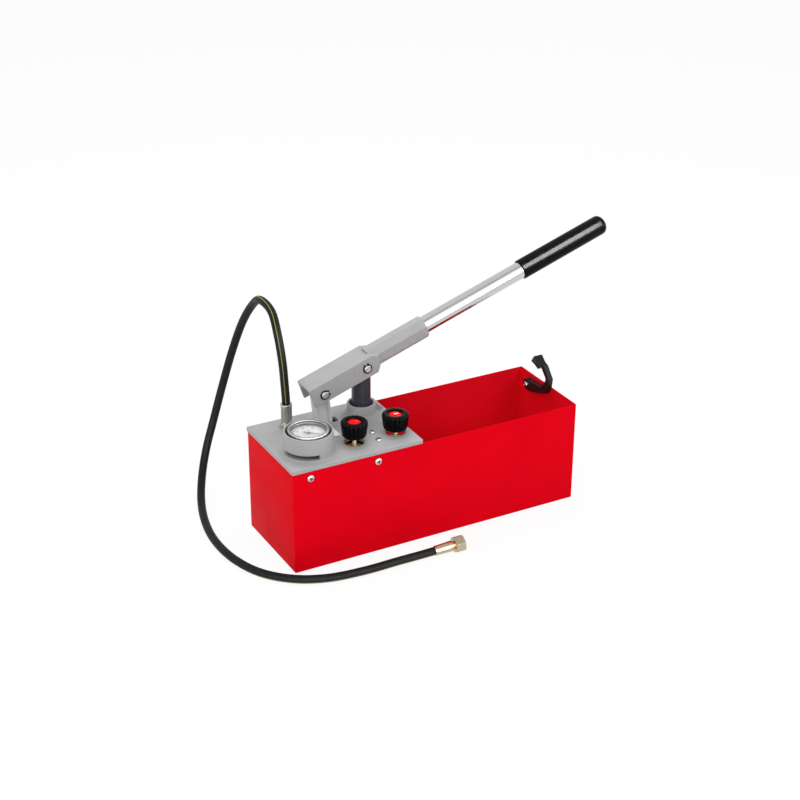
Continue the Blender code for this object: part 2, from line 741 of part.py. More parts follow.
def build_lever_pins():
    """Two pins through the casting, each held by a retaining ring at both ends."""
    end = CASTING_HALF_WIDTH + PIN_STICKS_OUT
    near = CASTING_HALF_WIDTH + FIT
    far = near + CLIP_THICKNESS + 2 * FIT
    groove = PIN_RADIUS - 0.0008
    half = [(0, end), (PIN_RADIUS - 0.001, end), (PIN_RADIUS, end - 0.001)]
    half += [(PIN_RADIUS, far), (groove, far), (groove, near), (PIN_RADIUS, near)]
    profile = half + [(radius, -height) for radius, height in reversed(half)]
    spots = (("plunger", (0.0, 0.0, 0.0), 0.0), ("fulcrum", FULCRUM, math.radians(38)))
    ring = clip_outline(groove + FIT, PIN_RADIUS + 0.0016, 14)
    for word, spot, turn in spots:
        place(turned(f"{word}_pin", profile, BRIGHT_STEEL, SMALL_ROUND), spot, ALONG_Y, LEVER)
        for side, end_word in ((-1, "front"), (1, "back")):
            clip = slab(f"{word}_pin_clip_{end_word}", ring, CLIP_THICKNESS, BLACK_STEEL)
            y = side * (near + far) / 2
            seat = Vector(spot) + Vector((0, y, 0))
            place(clip, seat, (math.pi / 2, turn, 0), LEVER)


def build_link():
    """A cast H-section arm. Its lower eye is a slanted slot, the clearance of the open pivot."""
    length = (FULCRUM_PIN - ANCHOR_PIN).length
    drift = Matrix.Rotation(LINK_LEAN, 4, "Y") @ ANCHOR_DRIFT
    slot_radius = ANCHOR_RADIUS + ANCHOR_PLAY
    lower = Vector((0, 0, -length))
    lower_eye = lower + drift / 2
    eye_radius = 0.0155
    arm = slab(
        "link_arm",
        [
            *arc((0, 0), LINK_EYE, 0, 180, 12),
            (-LINK_HALF_WIDTH, -0.004),
            (-LINK_HALF_WIDTH, -length + 0.012),
            (LINK_HALF_WIDTH, -length + 0.012),
            (LINK_HALF_WIDTH, -0.004),
        ],
        LINK_THICKNESS,
        GREY_CASTING,
    )
    place(arm, (0, 0, 0), IN_XZ, LINK)
    eye = rod("link_lower_eye", eye_radius, -LINK_THICKNESS / 2, LINK_THICKNESS / 2, sides=ROUND)
    place(eye, lower_eye, ALONG_Y, LINK)
    join(arm, eye)
    upper_hole = rod("link_upper_hole", PIN_RADIUS + FIT, -0.02, 0.02, sides=16)
    place(upper_hole, (0, 0, 0), ALONG_Y, LINK)
    slant = math.degrees(math.atan2(drift.z, drift.x))
    slot_outline = list(arc((0, 0), slot_radius, slant + 90, slant + 270, 8))
    slot_outline += list(arc((drift.x, drift.z), slot_radius, slant - 90, slant + 90, 8))
    slot = slab("link_lower_slot", slot_outline, 0.03)
    place(slot, lower, IN_XZ, LINK)
    cut(arm, upper_hole, slot)
    rim, web = 0.004, 0.005
    for side in (-1, 1):
        pocket = block(
            f"link_pocket_{side}",
            (-LINK_HALF_WIDTH + rim, side * web / 2, -length + 0.021),
            (LINK_HALF_WIDTH - rim, side * 0.01, -0.0165),
            None, 0.002,
        )
        cut(arm, place(pocket, (0, 0, 0), (0, 0, 0), LINK))


def build_anchor_pin():
    """A headed pin through the two cheeks under the plate."""
    cheek_face = SLOT_HALF_WIDTH + 0.005
    profile = (
        (0, cheek_face + FIT + 0.0025),
        (0.0070, cheek_face + FIT + 0.0025),
        (0.0075, cheek_face + FIT + 0.0020),
        (0.0075, cheek_face + FIT),
        (ANCHOR_RADIUS, cheek_face + FIT),
        (ANCHOR_RADIUS, -cheek_face - 0.004),
        (ANCHOR_RADIUS - 0.0008, -cheek_face - 0.0048),
        (0, -cheek_face - 0.0048),
    )
    pin = turned("anchor_pin", profile, BRIGHT_STEEL, SMALL_ROUND)
    place(pin, ANCHOR_PIN, (math.pi / 2, 0, 0))


def build_valve_block():
    """The brass block that carries both valves. Its saddle reaches the plate and takes two screws."""
    left, right = KNOB_XS[0] - 0.0175, KNOB_XS[1] + 0.0175
    body = block(
        "valve_block",
        (left, KNOB_Y - BLOCK_HALF_WIDTH, BLOCK_LOW),
        (right, KNOB_Y + BLOCK_HALF_WIDTH, BLOCK_HIGH),
        BRASS, 0.0012, 1,
    )
    saddle = block(
        "block_saddle",
        (SADDLE_X - 0.011, KNOB_Y - 0.0205, BLOCK_LOW + 0.002),
        (SADDLE_X + 0.011, KNOB_Y + 0.0205, PLATE_BOTTOM - FIT),
        None, 0.003, 2, "upright",
    )
    join(body, saddle)
    socket = (
        (0, BLOCK_HIGH + 0.01),
        (0.009, BLOCK_HIGH + 0.01),
        (0.009, 0.1565),
        (0.0065, 0.1565),
        (0.0065, SEAT_Z),
        (0, SEAT_Z),
    )
    for i, x in enumerate(KNOB_XS):
        cut(body, place(turned(f"valve_socket_{i}", socket, steps=18), (x, KNOB_Y, 0)))
    for side in (-1, 1):
        x, y = saddle_screw_spot(side)
        cut(body, rod(f"block_tap_{side}", 0.0028, 0.156, 0.19, sides=SMALL_ROUND, centre=(x, y)))
        head = PLATE_TOP + FIT
        profile = (
            (0, head + 0.0020),
            (0.0020, head + 0.0020),
            (0.0022, head + 0.0032),
            (0.0037, head + 0.0032),
            (0.0044, head + 0.0022),
            (0.0044, head),
            (0.0025, head),
            (0.0025, 0.1575),
            (0, 0.1575),
        )
        word = "front" if side < 0 else "back"
        place(turned(f"block_screw_{word}", profile, BRIGHT_STEEL, SMALL_ROUND), (x, y, 0))
    feed = rod("block_feed_hole", FEED_RADIUS + FIT, BLOCK_LOW - 0.01, BLOCK_LOW + 0.006, sides=16)
    side_hole = rod("block_side_hole", 0.0045, 0.0, 0.02, sides=16)
    cut(body, place(feed, (PUMP_X, KNOB_Y, 0)))
    cut(body, place(side_hole, (left - 0.014, KNOB_Y + 0.0055, PIPE_Z), ALONG_X))


def fluted_ring(shape, z, radius, depth):
    """One level of the knob: a circle that dips into each of the flutes."""
    count = FLUTES * 3
    points = []
    for i in range(count):
        angle = 2 * math.pi * i / count
        reach = radius - (depth if i % 3 == 0 else 0.0)
        points.append(shape.verts.new((reach * math.cos(angle), reach * math.sin(angle), z)))
    return [shape.edges.new((points[i - 1], points[i])) for i in range(count)]


def knob_mesh(name):
    """The knob's fluted outside, lofted from the neck up to the rim, closed at both ends."""
    levels = (
        (0.0, 0.0160, 0.0),
        (0.0015, 0.0185, 0.0006),
        (0.0040, 0.0196, 0.0015),
        (0.0210, 0.0215, 0.0017),
        (0.0250, 0.0206, 0.0012),
        (KNOB_HEIGHT, 0.0180, 0.0),
    )
    shape = bmesh.new()
    rings = [fluted_ring(shape, z, radius, depth) for z, radius, depth in levels]
    for lower, upper in zip(rings, rings[1:]):
        bmesh.ops.bridge_loops(shape, edges=lower + upper)
    bmesh.ops.holes_fill(shape, edges=rings[0] + rings[-1], sides=0)
    bmesh.ops.recalc_face_normals(shape, faces=shape.faces)
    return mesh_of(name, shape)


def build_valve(word, x, lift):
    """One valve: cone, bonnet, spindle, fluted knob and its red cap, at a height above the seat."""
    axis = (x, KNOB_Y, 0)
    disc = (
        (0, 0.1585),
        (0.0052, 0.1585),
        (0.0058, 0.1578),
        (0.0058, 0.1540),
        (0.0030, SEAT_Z + FIT),
        (0, SEAT_Z + FIT),
    )
    place(turned(f"{word}_valve_cone", disc, BRIGHT_STEEL, SMALL_ROUND), (x, KNOB_Y, lift))
    across = 0.024
    bonnet_low = BLOCK_HIGH + FIT
    bonnet = rod(
        f"{word}_valve_bonnet", across / math.sqrt(3), bonnet_low, BONNET_TOP, BRASS, 6,
        chamfer=0.0008,
    )
    place(bonnet, axis, (0, 0, math.radians(10)))
    thread = rod(f"{word}_bonnet_thread", 0.0087, 0.1568, bonnet_low + ROOTED, sides=18)
    inside = (
        (0, BONNET_TOP + 0.01),
        (SPINDLE_RADIUS + FIT, BONNET_TOP + 0.01),
        (SPINDLE_RADIUS + FIT, 0.1665),
        (0.0065, 0.1650),
        (0.0065, 0.150),
        (0, 0.150),
    )
    hollow = turned(f"{word}_bonnet_bore", inside, steps=18)
    join(bonnet, place(thread, axis))
    cut(bonnet, place(hollow, axis))
    knob_base = Vector((x, KNOB_Y, KNOB_BOTTOM + lift))
    foot, top = 0.1588 - KNOB_BOTTOM, 0.0185
    pin = ((0, top), (SPINDLE_RADIUS - 0.0004, top), (SPINDLE_RADIUS, top - 0.0006))
    pin += ((SPINDLE_RADIUS, foot), (0, foot))
    place(turned(f"{word}_valve_spindle", pin, BRASS, SMALL_ROUND), knob_base)
    knob = add(f"{word}_valve_knob", knob_mesh(f"{word}_valve_knob"), BLACK_PLASTIC)
    place(knob, knob_base)
    hub = rod(f"{word}_knob_bore", SPINDLE_RADIUS + FIT, -0.01, top + FIT, sides=SMALL_ROUND)
    recess_floor = KNOB_HEIGHT - 0.0029
    recess = rod(f"{word}_knob_recess", 0.0110, recess_floor, 0.04, sides=ROUND)
    cut(knob, place(hub, knob_base), place(recess, knob_base))
    low = recess_floor + FIT
    dome = ((0, low + 0.0026), (0.0045, low + 0.0024), (0.0080, low + 0.0016))
    dome += ((0.0100, low + 0.0006), (0.0103, low), (0, low))
    place(turned(f"{word}_knob_cap", dome, RED_PLASTIC, 16), knob_base)


def build_gauge():
    """A dial gauge: case with its stem, dial, needle, glass and bright bezel."""
    axis = (GAUGE_X, GAUGE_Y, 0)
    case_wall, case_radius = 0.0015, 0.0310
    rim_top, back = 0.2149, 0.1870
    stem, stem_foot = 0.007, 0.1585
    case = (
        (0, DIAL_Z - FIT),
        (case_radius - case_wall, DIAL_Z - FIT),
        (case_radius - case_wall, rim_top),
        (case_radius, rim_top),
        (case_radius, back + 0.003),
        (case_radius - 0.003, back),
        (stem, back),
        (stem, stem_foot),
        (0, stem_foot),
    )
    place(turned("gauge_case", case, BLACK_STEEL, WIDE_ROUND), axis)
    dial = (
        (0.0014, DIAL_Z + 0.0008),
        (DIAL_RADIUS, DIAL_Z + 0.0008),
        (DIAL_RADIUS, DIAL_Z),
        (0.0014, DIAL_Z),
    )
    place(turned("gauge_dial", dial, WHITE_DIAL, ROUND, True), axis)
    glass_low, glass_high = rim_top + FIT, 0.2170
    glass = (
        (0, glass_high),
        (case_radius - 0.0002, glass_high),
        (case_radius - 0.0002, glass_low),
        (0, glass_low),
    )
    place(turned("gauge_glass", glass, CLEAR_GLASS, ROUND), axis)
    skirt, lip = case_radius + FIT, 0.0285
    bezel = (
        (lip, BEZEL_TOP - 0.0008),
        (lip + 0.0012, BEZEL_TOP),
        (BEZEL_RADIUS - 0.0010, BEZEL_TOP),
        (BEZEL_RADIUS, BEZEL_TOP - 0.0010),
        (BEZEL_RADIUS, 0.2090),
        (skirt, 0.2090),
        (skirt, glass_high + FIT),
        (lip, glass_high + FIT),
    )
    place(turned("gauge_bezel", bezel, CHROME, WIDE_ROUND, True), axis)
    hub_low = DIAL_Z + 0.0012
    hub = (
        (0, hub_low + 0.0024),
        (0.0022, hub_low + 0.0024),
        (0.0026, hub_low + 0.0020),
        (0.0026, hub_low),
        (0, hub_low),
    )
    pivot = Vector((GAUGE_X, GAUGE_Y, hub_low))
    needle = slab(
        "gauge_needle",
        ((-0.0085, -0.0012), (0.0, -0.0012), (0.0225, -0.0003), (0.0225, 0.0003),
         (0.0, 0.0012), (-0.0085, 0.0012)),
        0.0006, BLACK_STEEL,
    )
    zero = math.radians(-45)
    needle.data.transform(Matrix.Rotation(zero, 4, "Z"))
    hub_solid = turned("needle_hub", hub, steps=SMALL_ROUND)
    join(needle, hub_solid)
    needle.data.transform(Matrix.Translation((0, 0, 0.0009)))
    hub_solid.data.transform(Matrix.Translation((0, 0, -hub_low)))
    place(needle, pivot)
    place(hub_solid, pivot)


def build_pipework():
    """Pressure pipes under the plate, from the pump to the valves, the gauge and the hose."""
    tee_x, tee_y = GAUGE_X, GAUGE_Y
    tee = block(
        "gauge_tee",
        (tee_x - TEE_HALF, tee_y - TEE_HALF, 0.141),
        (tee_x + TEE_HALF, tee_y + TEE_HALF, 0.1665),
        BRASS, 0.0015, 1,
    )
    stem = rod("tee_stem_hole", 0.0073, 0.158, 0.18, sides=16, centre=(tee_x, tee_y))
    cut(tee, stem)
    block_left = KNOB_XS[0] - 0.0175

    def pipe(name, start, length, rotation):
        collar, ease, flange = 0.0085, 0.0008, 0.008
        profile = (
            (0, length),
            (collar - ease, length),
            (collar, length - ease),
            (collar, length - flange),
            (PIPE_RADIUS, length - flange),
            (PIPE_RADIUS, flange),
            (collar, flange),
            (collar, ease),
            (collar - ease, 0),
            (0, 0),
        )
        place(turned(name, profile, BRIGHT_STEEL, SMALL_ROUND), start, rotation)

    gap = block_left - (tee_x + TEE_HALF)
    pipe("gauge_pipe", (tee_x + TEE_HALF + FIT, KNOB_Y + 0.0055, PIPE_Z), gap - 2 * FIT, ALONG_X)
    connector_half = 0.0115
    run = HOSE_Y - connector_half - (tee_y + TEE_HALF)
    pipe("hose_pipe", (-0.2035, tee_y + TEE_HALF + FIT, PIPE_Z), run - 2 * FIT, ALONG_Y)
    connector = block(
        "hose_connector",
        (HOSE_X - connector_half, HOSE_Y - connector_half, 0.141),
        (HOSE_X + connector_half, HOSE_Y + connector_half, PLATE_BOTTOM - 0.0013),
        BRASS, 0.0015, 1,
    )
    nipple = rod("connector_nipple", 0.0071, 0.168, 0.1900, sides=16, centre=(HOSE_X, HOSE_Y))
    join(connector, nipple)
    curve = bpy.data.curves.new("feed_pipe", "CURVE")
    curve.dimensions = "3D"
    curve.bevel_depth = FEED_RADIUS
    curve.bevel_resolution = 3
    curve.use_fill_caps = True
    bend = 0.028
    low, high = FEED_Z, BLOCK_LOW + 0.0055
    points = [(PUMP_Y - 0.0117, low)]
    points += list(arc((KNOB_Y + bend, low + bend), bend, 270, 180, 7))
    points += [(KNOB_Y, high)]
    line = curve.splines.new("POLY")
    line.points.add(len(points) - 1)
    for point, (y, z) in zip(line.points, points):
        point.co = (PUMP_X, y, z, 1.0)
    pipe_obj = bpy.data.objects.new("feed_pipe", curve)
    parts.objects.link(pipe_obj)
    curve.materials.append(BRIGHT_STEEL)


def smooth_route(route, per_span=24):
    """Closely spaced points on one smooth curve through the route's points."""
    knots = [Vector(p) for p in route]
    knots = [2 * knots[0] - knots[1], *knots, 2 * knots[-1] - knots[-2]]
    points = []
    for a, b, c, d in zip(knots, knots[1:], knots[2:], knots[3:]):
        for i in range(per_span):
            t = i / per_span
            bend = 2 * a - 5 * b + 4 * c - d
            twist = 3 * b - a - 3 * c + d
            points.append((2 * b + (c - a) * t + bend * t**2 + twist * t**3) / 2)
    points.append(knots[-2])
    return points


def evenly(points, step):
    """The same curve with about one point a step, both ends kept."""
    lengths = [0.0]
    for a, b in zip(points, points[1:]):
        lengths.append(lengths[-1] + (b - a).length)
    count = round(lengths[-1] / step)
    spaced, j = [], 0
    for i in range(count + 1):
        goal = lengths[-1] * i / count
        while j < len(points) - 2 and lengths[j + 1] < goal:
            j += 1
        share = (goal - lengths[j]) / (lengths[j + 1] - lengths[j])
        spaced.append(points[j].lerp(points[j + 1], share))
    return spaced


def build_hose():
    """The hose, the ferrule at the pump, and the ferrule, tail and union nut at its far end."""
    curve = bpy.data.curves.new("hose", "CURVE")
    curve.dimensions = "3D"
    curve.bevel_depth = HOSE_RADIUS
    curve.bevel_resolution = 2
    curve.use_fill_caps = True
    spaced = evenly(smooth_route(HOSE_ROUTE), HOSE_STEP)
    line = curve.splines.new("POLY")
    line.points.add(len(spaced) - 1)
    for point, place_on in zip(line.points, spaced):
        point.co = (*place_on, 1.0)
    hose = bpy.data.objects.new("hose", curve)
    parts.objects.link(hose)
    curve.materials.append(BLACK_RUBBER)

    base = (
        (0, FERRULE_TOP),
        (0.0096, FERRULE_TOP),
        (0.0101, FERRULE_TOP - 0.0010),
        (0.0099, FERRULE_BOTTOM + 0.004),
        (0.0108, FERRULE_BOTTOM + 0.0025),
        (0.0108, FERRULE_BOTTOM),
        (0.0074, FERRULE_BOTTOM),
        (0.0074, 0.1905),
        (0, 0.1905),
    )
    place(turned("hose_ferrule_base", base, BRIGHT_STEEL, 18), (HOSE_X, HOSE_Y, 0))

    aim = (0.0, math.pi / 2 - NUT_PITCH, NUT_HEADING)
    rear, front = END_FERRULE_REAR, END_FERRULE_FRONT
    sleeve = (
        (0, front),
        (0.0080, front),
        (0.0086, front - 0.0008),
        (0.0086, front - 0.006),
        (0.0079, rear + 0.0008),
        (0.0075, rear),
        (0, rear),
    )
    place(turned("hose_ferrule_end", sleeve, BRIGHT_STEEL, 18), NUT_CENTRE, aim)
    half = NUT_LENGTH / 2
    back_wall = -half + 0.0035
    tail = (
        (0, 0.003),
        (0.0052, 0.003),
        (0.0086, back_wall + 0.0033),
        (0.0086, back_wall + FIT),
        (0.0060, back_wall + FIT),
        (0.0060, front + FIT),
        (0, front + FIT),
    )
    place(turned("hose_tail", tail, BRASS, SMALL_ROUND), NUT_CENTRE, aim)
    nut = rod(
        "union_nut", NUT_ACROSS / math.sqrt(3), -half, half, BRASS, 6, chamfer=0.0009
    )
    place(nut, NUT_CENTRE, aim)
    thread = (
        (0, half + 0.005),
        (0.0094, half + 0.005),
        (0.0094, back_wall),
        (0.0064, back_wall),
        (0.0064, -half - 0.005),
        (0, -half - 0.005),
    )
    cut(nut, place(turned("nut_bore", thread, steps=18), NUT_CENTRE, aim))


def build_hook():
    """The moulded hook that holds the lever down, with its bolt and nut through the end wall."""
    turn = (HOOK_OPENED, 0.0, 0.0)
    in_yz = Matrix.Rotation(math.pi / 2, 4, "Z") @ Matrix.Rotation(math.pi / 2, 4, "X")
    hook = slab("hook", HOOK_OUTLINE, 2 * HOOK_HALF_THICKNESS, BLACK_PLASTIC)
    pad_width = HOOK_HALF_THICKNESS - HOOK_PAD_X
    pad = slab("hook_pad", HOOK_PAD, pad_width)
    pad_shift = Matrix.Translation(((HOOK_HALF_THICKNESS + HOOK_PAD_X) / 2, 0, 0))
    hook.data.transform(in_yz)
    pad.data.transform(pad_shift @ in_yz)
    eye = rod("hook_eye", HOOK_EYE, -HOOK_HALF_THICKNESS, HOOK_HALF_THICKNESS, sides=24)
    hole = rod("hook_hole", 0.0033, -0.02, 0.02, sides=SMALL_ROUND)
    for ring in (eye, hole):
        ring.data.transform(Matrix.Rotation(math.pi / 2, 4, "Y"))
    for piece in (hook, pad, eye, hole):
        place(piece, HOOK_PIVOT, turn)
    join(hook, pad, eye)
    cut(hook, hole)
    head = -HOOK_HALF_THICKNESS - FIT
    wall_out = TANK_LENGTH / 2 - HOOK_PIVOT.x + FIT
    end = wall_out + 0.0065
    bolt = (
        (0, end),
        (0.0025, end),
        (0.0030, end - 0.0006),
        (0.0030, head),
        (0.0050, head),
        (0.0050, head - 0.0018),
        (0.0038, head - 0.0032),
        (0, head - 0.0036),
    )
    place(turned("hook_bolt", bolt, BRIGHT_STEEL, SMALL_ROUND), HOOK_PIVOT, ALONG_X)
    nut = rod(
        "hook_nut", 0.010 / math.sqrt(3), wall_out, wall_out + 0.005, BRIGHT_STEEL, 6,
        chamfer=0.0006,
    )
    place(nut, HOOK_PIVOT, ALONG_X)
    nut_hole = rod("hook_nut_hole", 0.0033, 0.0, 0.03, sides=SMALL_ROUND)
    cut(nut, place(nut_hole, HOOK_PIVOT, ALONG_X))


build_tank()
build_top_plate()
build_plate_screws()
build_cylinder()
build_plunger()
build_lever_casting()
build_lever_tube()
build_lever_pins()
build_link()
build_anchor_pin()
build_valve_block()
build_valve("left", KNOB_XS[0], LEFT_LIFT)
build_valve("right", KNOB_XS[1], 0.0)
build_gauge()
build_pipework()
build_hose()
build_hook()
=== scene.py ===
"""Looks of a hydrostatic test pump: a hand lever pump on an open red water tank."""

import math

import bmesh
import bpy
from mathutils import Matrix, Vector


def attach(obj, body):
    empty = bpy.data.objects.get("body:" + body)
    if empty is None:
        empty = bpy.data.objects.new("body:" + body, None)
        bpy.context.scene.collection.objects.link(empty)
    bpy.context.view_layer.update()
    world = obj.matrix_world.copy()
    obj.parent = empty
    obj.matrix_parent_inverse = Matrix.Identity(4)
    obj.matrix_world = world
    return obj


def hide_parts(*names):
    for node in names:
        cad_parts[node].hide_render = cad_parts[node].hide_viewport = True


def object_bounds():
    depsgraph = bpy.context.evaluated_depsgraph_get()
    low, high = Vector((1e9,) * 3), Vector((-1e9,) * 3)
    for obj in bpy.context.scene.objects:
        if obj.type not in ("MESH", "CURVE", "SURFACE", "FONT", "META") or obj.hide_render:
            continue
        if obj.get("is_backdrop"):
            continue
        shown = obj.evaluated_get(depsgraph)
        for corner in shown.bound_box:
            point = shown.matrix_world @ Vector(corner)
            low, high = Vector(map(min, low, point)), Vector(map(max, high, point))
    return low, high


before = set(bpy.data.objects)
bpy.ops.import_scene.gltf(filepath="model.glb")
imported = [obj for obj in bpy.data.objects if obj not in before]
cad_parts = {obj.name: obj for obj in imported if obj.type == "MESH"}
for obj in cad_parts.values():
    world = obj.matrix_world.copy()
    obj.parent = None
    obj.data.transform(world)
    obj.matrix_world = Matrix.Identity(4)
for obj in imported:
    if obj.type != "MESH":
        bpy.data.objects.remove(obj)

cad_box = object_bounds()
scene = bpy.context.scene
scene.view_settings.view_transform = "Standard"

# Camera
# It stands about 2.6 m away, a little above the tank and off its left front corner,
# with a long lens that keeps the tank's edges almost parallel.
EYE = Vector((-1.2018, -2.1422, 1.4167))
RIGHT = Vector((0.87794, -0.47875, 0.00465)).normalized()
DOWN = Vector((-0.20797, -0.39009, -0.89698)).normalized()
FORWARD = RIGHT.cross(DOWN)
camera = bpy.data.objects.new("camera", bpy.data.cameras.new("camera"))
camera.data.sensor_width = 36.0
camera.data.lens = 76.31
camera.data.clip_end = 20.0
camera.matrix_world = (
    Matrix.Translation(EYE) @ Matrix((RIGHT, -DOWN, -FORWARD)).transposed().to_4x4()
)
scene.collection.objects.link(camera)
scene.camera = camera


# Floor and light
# A plain white studio: a matt floor that keeps a soft shadow, a white surround, a large
# softbox over each shoulder and one overhead.
def add_node(tree, kind, inputs=None, **settings):
    """A shader node with its settings, its inputs given as values or as other nodes' outputs."""
    made = tree.nodes.new("ShaderNode" + kind)
    for name, value in settings.items():
        setattr(made, name, value)
    for name, value in (inputs or {}).items():
        if isinstance(value, bpy.types.NodeSocket):
            tree.links.new(value, made.inputs[name])
        else:
            made.inputs[name].default_value = value
    return made


def seen_directly(tree):
    """1 for rays from the camera or through glass, otherwise 0."""
    path = add_node(tree, "LightPath")
    rays = {0: path.outputs["Is Camera Ray"], 1: path.outputs["Is Transmission Ray"]}
    return add_node(tree, "Math", rays, operation="MAXIMUM").outputs[0]


def seen_mirrored(tree):
    """1 for rays from a mirror, otherwise 0."""
    return add_node(tree, "LightPath").outputs["Is Glossy Ray"]


FLOOR_SIZE = 14.0
FLOOR_GLOW = 0.92
EVEN_LIGHT = 0.62
floor_shape = bmesh.new()
bmesh.ops.create_grid(floor_shape, x_segments=1, y_segments=1, size=FLOOR_SIZE / 2)
floor_mesh = bpy.data.meshes.new("floor")
floor_shape.to_mesh(floor_mesh)
floor_shape.free()
floor = bpy.data.objects.new("floor", floor_mesh)
scene.collection.objects.link(floor)
floor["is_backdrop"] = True
floor_paint = bpy.data.materials.new("white floor")
floor_paint.use_nodes = True
tree = floor_paint.node_tree
tree.nodes.clear()
matt = add_node(tree, "BsdfDiffuse", {"Color": (0.86, 0.86, 0.86, 1.0)})
glow = add_node(tree, "Emission", {"Color": (1.0, 1.0, 1.0, 1.0), "Strength": 1.0})
both = add_node(tree, "Math", {0: seen_directly(tree), 1: seen_mirrored(tree)}, operation="MAXIMUM")
share = add_node(tree, "Math", {0: both.outputs[0], 1: FLOOR_GLOW}, operation="MULTIPLY")
blend = add_node(tree, "MixShader", {0: share.outputs[0], 1: matt.outputs[0], 2: glow.outputs[0]})
add_node(tree, "OutputMaterial", {"Surface": blend.outputs[0]})
floor_mesh.materials.append(floor_paint)

# How bright a mirror shows the studio, by the angle in degrees from the front over the top
# to the back: a dark horizon, a long bright softbox, a dim ceiling and a white back wall
MIRRORED_ARCH = (
    (0, 0.45), (4, 0.45), (8, 6.5), (33, 6.5), (38, 1.7), (60, 1.5), (66, 0.60), (84, 0.58), (90, 0.92),
)
BRIGHTEST = 8.0
surround = bpy.data.worlds.new("studio")
scene.world = surround
surround.use_nodes = True
tree = surround.node_tree
tree.nodes.clear()
way = add_node(tree, "SeparateXYZ", {0: add_node(tree, "TexCoord").outputs["Generated"]})
forward = add_node(tree, "Math", {0: way.outputs["Y"], 1: -1.0}, operation="MULTIPLY")
angle = add_node(tree, "Math", {0: way.outputs["Z"], 1: forward.outputs[0]}, operation="ARCTAN2")
arch = add_node(tree, "MapRange", {"Value": angle.outputs[0], "From Min": 0.0, "From Max": math.pi})
mirrored = add_node(tree, "ValToRGB", {0: arch.outputs[0]})
stops = mirrored.color_ramp.elements
for place, brightness in MIRRORED_ARCH:
    stop = stops[0] if place == 0 else stops.new(place / 180)
    stop.color = (brightness / BRIGHTEST, brightness / BRIGHTEST, brightness / BRIGHTEST, 1.0)
stops[-1].color = stops[-2].color
shown = add_node(tree, "Math", {0: mirrored.outputs[0], 1: BRIGHTEST}, operation="MULTIPLY")
soft = add_node(tree, "Mix", {0: seen_mirrored(tree), 2: EVEN_LIGHT, 3: shown.outputs[0]})
level = add_node(tree, "Mix", {0: seen_directly(tree), 2: soft.outputs[0], 3: 1.0})
sky = add_node(tree, "Background", {"Color": (1.0, 1.0, 1.0, 1.0), "Strength": level.outputs[0]})
add_node(tree, "OutputWorld", {"Surface": sky.outputs[0]})

# Each lamp's name, place, side and watts, and whether it shows in mirrors and nowhere else
LIGHT_AIM = Vector((0.0, 0.0, 0.15))
lamps = {}
for name, spot, size, watts, mirrored in (
    ("left softbox", Vector((-2.2, -1.3, 1.9)), 1.5, 26.0, False),
    ("right softbox", Vector((1.3, -2.4, 1.7)), 1.3, 20.0, False),
    ("overhead softbox", Vector((0.2, 0.7, 2.6)), 1.8, 42.0, False),
    ("back window", Vector((1.10, 1.93, 1.38)), 0.28, 6.0, True),
    ("grip softbox", Vector((0.40, -1.11, 1.38)), 1.10, 400.0, True),
):
    lamp = bpy.data.lights.new(name, "AREA")
    lamp.shape = "SQUARE"
    lamp.size = size
    lamp.energy = watts
    holder = bpy.data.objects.new(name, lamp)
    holder.matrix_world = (
        Matrix.Translation(spot) @ (LIGHT_AIM - spot).to_track_quat("-Z", "Y").to_matrix().to_4x4()
    )
    holder.visible_glossy = mirrored
    holder.visible_diffuse = not mirrored
    holder.visible_camera = False
    scene.collection.objects.link(holder)
    lamps[name] = holder


def light_only(name, *pieces):
    """Keep one lamp for these pieces alone, as the highlight it puts on them, with nothing before it."""
    lit = bpy.data.collections.new(name)
    for piece in pieces:
        lit.objects.link(piece)
    lamps[name].light_linking.receiver_collection = lit
    lamps[name].light_linking.blocker_collection = lit


# Hose
# High pressure rubber hose, 13.4 mm outside and 1.19 m long, with a yellow line along it.
# It rises from its ferrule, falls behind the tank and lies round it on the floor.
def principled(name, colour, roughness, metallic=0.0, specular=0.5):
    """A new material and its shader, ready for the nodes that pattern it."""
    made = bpy.data.materials.new(name)
    made.use_nodes = True
    shader = made.node_tree.nodes["Principled BSDF"]
    shader.inputs["Base Color"].default_value = (*colour, 1.0)
    shader.inputs["Roughness"].default_value = roughness
    shader.inputs["Metallic"].default_value = metallic
    shader.inputs["Specular IOR Level"].default_value = specular
    return made, made.node_tree, shader


def noise(tree, scale, detail=3.0, stretch=(1.0, 1.0, 1.0), turn=(0.0, 0.0, 0.0)):
    """Noise on the piece's own coordinates, its grain stretched and turned as asked."""
    place = add_node(tree, "TexCoord")
    lay = add_node(
        tree, "Mapping", {"Vector": place.outputs["Object"], "Rotation": turn, "Scale": stretch},
        vector_type="TEXTURE",
    )
    made = add_node(
        tree, "TexNoise", {"Vector": lay.outputs[0], "Scale": scale, "Detail": detail}
    )
    return made.outputs["Fac"]


def between(tree, value, low, high, from_low=0.3, from_high=0.7):
    """The value spread over another range."""
    made = add_node(
        tree, "MapRange",
        {"Value": value, "From Min": from_low, "From Max": from_high, "To Min": low, "To Max": high},
    )
    return made.outputs[0]


def tint(tree, factor, first, second):
    """A colour between two, by a factor."""
    made = add_node(tree, "Mix", {0: factor}, data_type="RGBA")
    made.inputs[6].default_value = (*first, 1.0)
    made.inputs[7].default_value = (*second, 1.0)
    return made.outputs[2]


def roughen(tree, shader, height, depth, round_edges=0.0):
    """A bump of a real depth in metres, over edges that are rounded in the shading."""
    bump = add_node(tree, "Bump", {"Height": height, "Strength": 1.0, "Distance": depth})
    if round_edges:
        edge = add_node(tree, "Bevel", {"Radius": round_edges}, samples=6)
        tree.links.new(edge.outputs[0], bump.inputs["Normal"])
    tree.links.new(bump.outputs[0], shader.inputs["Normal"])


